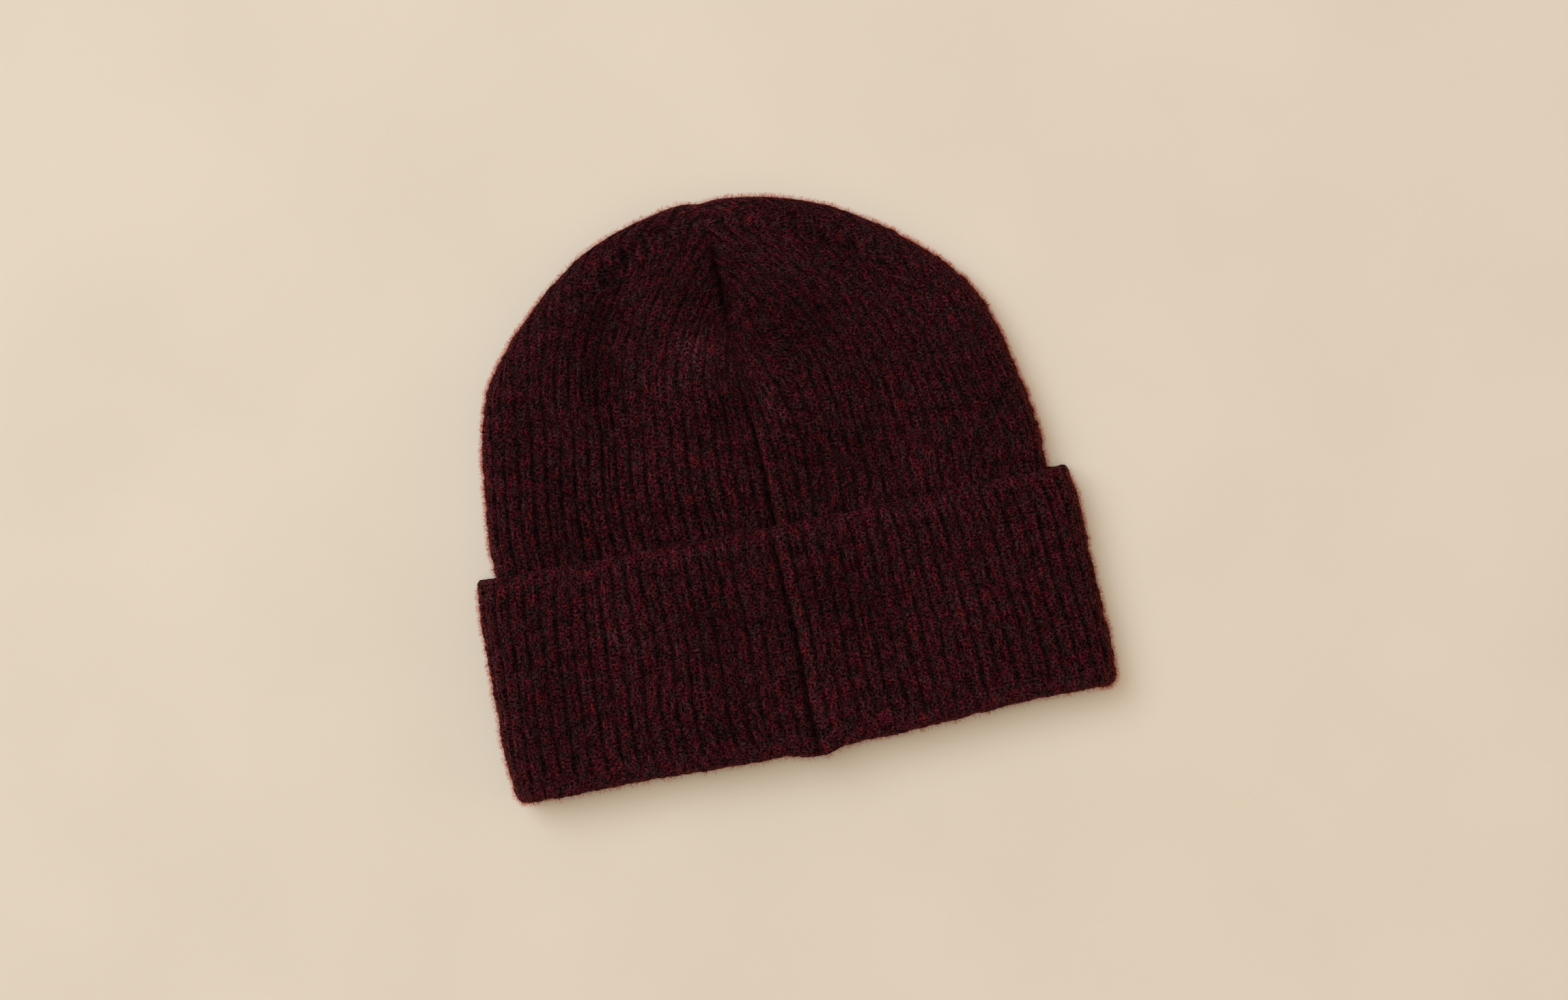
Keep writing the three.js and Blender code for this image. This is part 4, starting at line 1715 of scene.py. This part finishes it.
@dataclass(frozen=True)
class MarlWool:
    """Brushed marl wool, rib-knitted from yarn spun of four dyed wools.

    The eye sees flecks of the four colours, a stitch or less long and about as dark as each
    other, threads of matted fibre over them, darker valleys between the ribs, whose shade is
    partly cast by the relief and partly painted, no gloss, a painted pale sheen where the
    surface turns away from the view, and a painted red glow of light through the wool at the
    side edges.

    places are where the four colours lie on the flecks' noise, and the pulls shift a place
    along it. What has four numbers takes a value from between the first two to between the
    last two.
    """

    name: str = "brushed_marl_wool_rib"
    charcoal: str = "#241414"
    plum: str = "#2a1213"
    burgundy: str = "#2e1014"
    red: str = "#350c14"
    brick: str = "#360e0f"
    # Colour of the painted pale sheen at grazing view; it also tints the shader's own faint sheen.
    bloom: str = "#8a4444"
    # Colour of the painted red glow of light through the wool at the side edges.
    rim: str = "#da7458"
    fleck: Pattern = Pattern(1.8, 3.0, 0.68, 0.1, is_drawn=True)
    hue: Pattern = Pattern(3.6, 3.0, 0.6, 0.1)
    drift: Pattern = Pattern(6.0, 1.0, 0.5)
    grain: Pattern = Pattern(0.8, 2.0, 0.65, 0.2)
    cloud: Pattern = Pattern(1.9, 2.0, 0.6, is_drawn=True)
    thread: Pattern = Pattern(1.5, 1.5, 0.5, 1.2)
    drawn_out: float = 2.4
    thread_width: float = 0.022
    thread_turns: tuple[tuple[float, float], ...] = ((0.0, 1.0), (1.1, 0.77))
    places: tuple[float, ...] = (0.36, 0.455, 0.54, 0.65)
    tone_pull: float = 0.16
    drift_pull: float = 0.35
    # Painted shade in the valleys: by how sunk a place is, a pull towards the darker wools and less
    # light.
    sunk_pull: tuple[float, ...] = (0.0, 1.2, 0.05, -0.08)
    hue_share: tuple[float, ...] = (0.45, 0.55, 0.0, 1.0)
    grain_light: tuple[float, ...] = (0.22, 0.78, -1.05, 3.07)
    cloud_light: tuple[float, ...] = (0.3, 0.7, 0.46, 1.54)
    sunk_light: tuple[float, ...] = (0.0, 1.2, 1.155, 0.38)
    thread_light: float = 0.7
    thread_height: float = 0.6
    bump: float = 0.7
    bump_metres: float = 0.0004
    bloom_edge: Edge = Edge(0.35, 2.0, 0.6)
    rim_edge: Edge = Edge(0.5, 6.0, 0.1)
    edge_darkening: float = 0.9
    roughness: float = 1.0
    specular: float = 0.02
    sheen: float = 0.025
    sheen_roughness: float = 0.5

    def material(self) -> bpy.types.Material:
        """Builds the node material.

        Returns:
            The material.
        """
        material, add = new_material(self.name)
        uv = add("UVMap", uv_map="knit")
        drawn = add("Mapping", {"Vector": uv, "Scale": (1.0, 1 / self.drawn_out, 1.0)})
        fleck, hue, drift, grain, cloud = (
            add(
                "TexNoise",
                {
                    "Vector": drawn if pattern.is_drawn else uv,
                    "Scale": 1 / pattern.size,
                    "Detail": pattern.detail,
                    "Roughness": pattern.roughness,
                    "Distortion": pattern.distortion,
                },
                noise_dimensions="2D",
            )
            for pattern in (self.fleck, self.hue, self.drift, self.grain, self.cloud)
        )
        threads = self.threads(add, uv)
        tone, sunk, nap = (
            add("Attribute", output="Fac", attribute_name=name) for name in ("tone", "sunk", "nap")
        )
        colour = self.marl(add, (fleck, hue, drift), tone, sunk)
        light = add("MapRange", (grain, *self.grain_light))
        light = add("Math", (threads, self.thread_light, light), operation="MULTIPLY_ADD")
        # The wool's own grain, threads and cloud, then painted shade in the valleys, then the painted
        # light and shade of the patches, seam, darts and free edge, with the band of lighter nap.
        for factor in (
            add("MapRange", (cloud, *self.cloud_light)),
            add("MapRange", (sunk, *self.sunk_light)),
            add("Math", (nap,), operation="EXPONENT"),
        ):
            light = add("Math", (light, factor), operation="MULTIPLY")
        shaded = add("Mix", {0: 1.0, 6: colour, 7: light}, 2, data_type="RGBA", blend_type="MULTIPLY")
        shaded = self.edged(add, shaded, light)
        height = add("Math", (threads, self.thread_height, grain), operation="MULTIPLY_ADD")
        bump = {"Strength": self.bump, "Distance": self.bump_metres, "Height": height}
        shader = add(
            "BsdfPrincipled",
            {
                "Base Color": shaded,
                "Normal": add("Bump", bump),
                "Roughness": self.roughness,
                "Specular IOR Level": self.specular,
                "Sheen Weight": self.sheen,
                "Sheen Roughness": self.sheen_roughness,
                "Sheen Tint": srgb(self.bloom),
            },
        )
        add("OutputMaterial", (shader,))
        return material

    def marl(self, add: NodeAdder, patterns: tuple[Socket, ...], tone: Socket, sunk: Socket) -> Socket:
        """The dyed wools: flecks, pulled a little by each stitch's own shade, by a slow drift
        and, as painted shade, towards the darker wools by how deep they lie. Of the two reds, the hue
        says which.

        Args:
            add: adds a node.
            patterns: the flecks, the hue and the drift.
            tone, sunk: the stitch's shade, and how sunk the place is.
        Returns:
            The colour.
        """
        fleck, hue, drift = patterns
        tone = add("Math", (tone, 0.5), operation="SUBTRACT")
        pulled = add("Math", (tone, self.tone_pull, fleck), operation="MULTIPLY_ADD")
        drift = add("Math", (drift, 0.5), operation="SUBTRACT")
        pulled = add("Math", (drift, self.drift_pull, pulled), operation="MULTIPLY_ADD")
        # Painted shade: deeper places are pulled towards the darker wools.
        depth = add("MapRange", (sunk, *self.sunk_pull))
        pulled = add("Math", (pulled, depth), operation="ADD")
        hue = add("MapRange", (hue, *self.hue_share))
        shades = (self.charcoal, self.plum, self.burgundy)
        red, brick = (
            add("ValToRGB", (pulled,), stops=tuple(zip(self.places, (*shades, bright))))
            for bright in (self.red, self.brick)
        )
        return add("Mix", {0: hue, 6: red, 7: brick}, 2, data_type="RGBA", blend_type="MIX")

    def edged(self, add: NodeAdder, shaded: Socket, light: Socket) -> Socket:
        """Paints a pale sheen and a red glow of light through the wool over the colour where the
        surface turns away from the view. The glow goes by the lie of the knit without its relief.

        Args:
            add: adds a node.
            shaded: the colour.
            light: how light the place is.
        Returns:
            The colour with both.
        """
        lie = add("Attribute", output="Vector", attribute_name="lie")
        lie = add(
            "VectorTransform",
            (lie,),
            vector_type="NORMAL",
            convert_from="OBJECT",
            convert_to="WORLD",
        )
        for code, edge, inputs in (
            (self.bloom, self.bloom_edge, {}),
            (self.rim, self.rim_edge, {"Normal": lie}),
        ):
            facing = add("LayerWeight", inputs | {"Blend": edge.blend}, "Facing")
            share = add("Math", (facing, edge.power), operation="POWER")
            share = add("Math", (share, edge.most), operation="MULTIPLY")
            pale = {0: self.edge_darkening, 6: srgb(code), 7: light}
            pale = add("Mix", pale, 2, data_type="RGBA", blend_type="MULTIPLY")
            both = {0: share, 6: shaded, 7: pale}
            shaded = add("Mix", both, 2, data_type="RGBA", blend_type="MIX")
        return shaded

    def threads(self, add: NodeAdder, uv: Socket) -> Socket:
        """Thin curling threads: the places where one of two noises is close to its middle.

        Args:
            add: adds a node.
            uv: the knit map.
        Returns:
            1 in a thread's middle and 0 between threads.
        """
        found = []
        for turn, scale in self.thread_turns:
            turned = {"Vector": uv, "Rotation": (0.0, 0.0, turn), "Location": (7.0 * turn, 3.0, 0.0)}
            wave = add(
                "TexNoise",
                {
                    "Vector": add("Mapping", turned),
                    "Scale": 1 / (self.thread.size * scale),
                    "Detail": self.thread.detail,
                    "Roughness": self.thread.roughness,
                    "Distortion": self.thread.distortion,
                },
                noise_dimensions="2D",
            )
            away = add("Math", (wave, 0.5), operation="SUBTRACT")
            away = add("Math", (away,), operation="ABSOLUTE")
            found.append(add("MapRange", (away, 0.0, self.thread_width, 1.0, 0.0)))
        return add("Math", tuple(found), operation="MAXIMUM")


@dataclass(frozen=True)
class WoolFibre:
    """Single wool fibres, of the same four dyed wools and a few undyed ones.

    The eye sees thin matt hairs, mostly wine red and plum, a few grey or pale pink. Light
    shines through them, so those that stand free against the light look redder and lighter.
    """

    name: str = "loose_wool_fibre"
    dark: str = "#220d10"
    wine: str = "#431216"
    rose: str = "#5c2c36"
    pale: str = "#7c5a60"
    seen_through: str = "#ffb070"
    clearness: float = 0.0

    def material(self) -> bpy.types.Material:
        """Builds the node material.

        Returns:
            The material.
        """
        material, add = new_material(self.name)
        shade = add("Attribute", output="Fac", attribute_name="shade")
        stops = ((0.0, self.dark), (0.5, self.wine), (0.88, self.rose), (1.0, self.pale))
        colour = add("ValToRGB", (shade,), stops=stops)
        look = {"Base Color": colour, "Roughness": 0.9, "Specular IOR Level": 0.1}
        shader = add("BsdfPrincipled", look)
        if self.clearness:
            through = add("BsdfTransparent", (srgb(self.seen_through),))
            shader = add("MixShader", (self.clearness, shader, through))
        add("OutputMaterial", (shader,))
        return material


@dataclass(frozen=True)
class Paper:
    """Uncoated cream board under the hat: matt, even, with a faint cloudiness."""

    name: str = "cream_board"
    light: str = "#dbd0be"
    dark: str = "#d8cdba"
    cloud: float = 0.09

    def material(self) -> bpy.types.Material:
        """Builds the node material.

        Returns:
            The material.
        """
        material, add = new_material(self.name)
        place = add("TexCoord", output="Object")
        clouds = add("TexNoise", {"Vector": place, "Scale": 1 / self.cloud, "Detail": 2.0})
        colour = add("ValToRGB", (clouds,), stops=((0.35, self.dark), (0.65, self.light)))
        look = {"Base Color": colour, "Roughness": 0.95, "Specular IOR Level": 0.1}
        add("OutputMaterial", (add("BsdfPrincipled", look),))
        return material


# ---------------------------------------------------------------- Stage


class Light(Enum):
    """The studio's soft lights: where they stand, in metres from the hat, size, power, colour."""

    OVERHEAD = ((-0.1, 0.1, 3.2), 1.2, 42.0, "#fff7ed")
    SIDE = ((-1.4, 1.4, 3.0), 2.4, 88.0, "#e1edff")
    FILL = ((2.2, -0.5, 0.9), 1.4, 5.0, "#ffdcb8")


@dataclass(frozen=True)
class Studio:
    """The board, the lights and the camera over the hat, in metres."""

    view_width: float = 0.566
    view_shift: tuple[float, float] = (0.004, 0.0904)
    roll: float = math.radians(11.2)
    focal_mm: float = 70.0
    sensor_mm: float = 36.0
    nearest: float = 0.05
    middle_height: float = 0.012
    board_size: float = 14.0
    sky: str = "#ffe4c2"
    sky_strength: float = 0.285

    def build(self, place: Array) -> None:
        """Makes everything around the hat.

        Args:
            place: where the hat's own origin lies in the frame, in millimetres.
        """
        self.board()
        for light in Light:
            self.lamp(light)
        world = bpy.data.worlds.new("studio")
        world.use_nodes = True
        background = world.node_tree.nodes["Background"]
        background.inputs["Color"].default_value = srgb(self.sky)
        background.inputs["Strength"].default_value = self.sky_strength
        bpy.context.scene.world = world
        bpy.context.scene.view_settings.view_transform = "Standard"
        self.camera(place)

    def board(self) -> None:
        """A flat board under the hat."""
        half = self.board_size / 2
        mesh = bpy.data.meshes.new("board")
        corners = [(-half, -half, 0), (half, -half, 0), (half, half, 0), (-half, half, 0)]
        mesh.from_pydata(corners, [], [(0, 1, 2, 3)])
        mesh.materials.append(Paper().material())
        board = bpy.data.objects.new("board", mesh)
        bpy.context.scene.collection.objects.link(board)

    @staticmethod
    def lamp(light: Light) -> None:
        """A square area light that looks at the hat.

        Args:
            light: which light.
        """
        position, size, power, colour = light.value
        lamp = bpy.data.lights.new(light.name.lower(), "AREA")
        lamp.size = size
        lamp.energy = power
        lamp.color = srgb(colour)[:3]
        lamp_object = bpy.data.objects.new(light.name.lower(), lamp)
        lamp_object.location = position
        lamp_object.rotation_euler = (-Vector(position)).to_track_quat("-Z", "Y").to_euler()
        bpy.context.scene.collection.objects.link(lamp_object)

    def camera(self, place: Array) -> None:
        """A camera straight above. Its height gives the view its width at mid-thickness:
        distance is width times focal length over the sensor's width.

        Args:
            place: where the hat's own origin lies in the frame, in millimetres.
        """
        camera = bpy.data.cameras.new("camera")
        camera.lens = self.focal_mm
        camera.sensor_width = self.sensor_mm
        camera.clip_start = self.nearest
        distance = self.view_width * self.focal_mm / self.sensor_mm
        x, y = (float(place[axis]) * MM + self.view_shift[axis] for axis in (0, 1))
        over = Matrix.Translation((x, y, self.middle_height + distance))
        camera_object = bpy.data.objects.new("camera", camera)
        camera_object.matrix_world = over @ Matrix.Rotation(-self.roll, 4, "Z")
        bpy.context.scene.collection.objects.link(camera_object)
        bpy.context.scene.camera = camera_object


# ---------------------------------------------------------------- The whole

# Its colours are lighter than the other fibres': painted light shining through them, beside the real
# see-through of its clearness.
RIM_FIBRE = WoolFibre(
    name="free_standing_wool_fibre",
    dark="#3a1312",
    wine="#541c18",
    rose="#70322c",
    pale="#9c786c",
    seen_through="#ffa25a",
    clearness=0.78,
)
rim_fibres = partial(
    Fibres, points=4, length=(0.8, 3.0), radius=0.039, lift=(0.15, 2.2), curl=1.2, rim=12.0
)
FIBRES = {
    "crown": (
        Fibres("crown_fuzz", 5000, 31),
        rim_fibres("crown_rim_fuzz", 9000, 33, tipward=1.3),
    ),
    "cuff": (
        Fibres("cuff_fuzz", 4500, 32),
        rim_fibres("cuff_rim_fuzz", 7500, 34),
    ),
}


def hat_place() -> Array:
    """Where the hat's own origin, the middle of the fold, lies in the frame, in millimetres.

    The cuff's box gives it: its middle is the middle of the widest rings, and its far side the
    cuff's edge at the side edges.

    Returns:
        The place, x, y and z.
    """
    low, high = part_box("cuff")
    rings = Sections(CUFF_SECTIONS).at(np.linspace(CUFF_SECTIONS[0].y, CUFF_TOP, 200))
    right = np.max(rings["seam"] + rings["right"])
    left = np.min(rings["seam"] - rings["left"])
    x = (low[0] + high[0]) / 2 / MM - (left + right) / 2
    y = high[1] / MM - CUFF_TOP - CUFF_TOP_RISE
    return np.array([x, y, 0.0])


def main() -> None:
    """Builds the hat around the frame, then the studio."""
    logging.basicConfig(level=logging.INFO, format="%(name)s: %(message)s")
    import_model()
    place = hat_place()
    LOG.info("hat placed at %s", np.round(place, 2))

    knit = MarlWool().material()
    finishes = {"all": WoolFibre().material(), "rim": RIM_FIBRE.material()}
    for name, maker, slot in (("crown", Crown(), "crown_knit"), ("cuff", Cuff(), "cuff_knit")):
        piece, surface = maker.build(place, knit)
        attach(piece, "root")
        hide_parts(name)
        LOG.info("%s: %d faces", piece.name, len(piece.data.polygons))
        for fibres in FIBRES[name]:
            fuzz = fibres.build(surface, finishes["rim" if fibres.rim else "all"])
            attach(fuzz, "root")
            LOG.info("%s: %d faces", fuzz.name, len(fuzz.data.polygons))

    Studio().build(place)


if __name__ == "__main__":
    main()
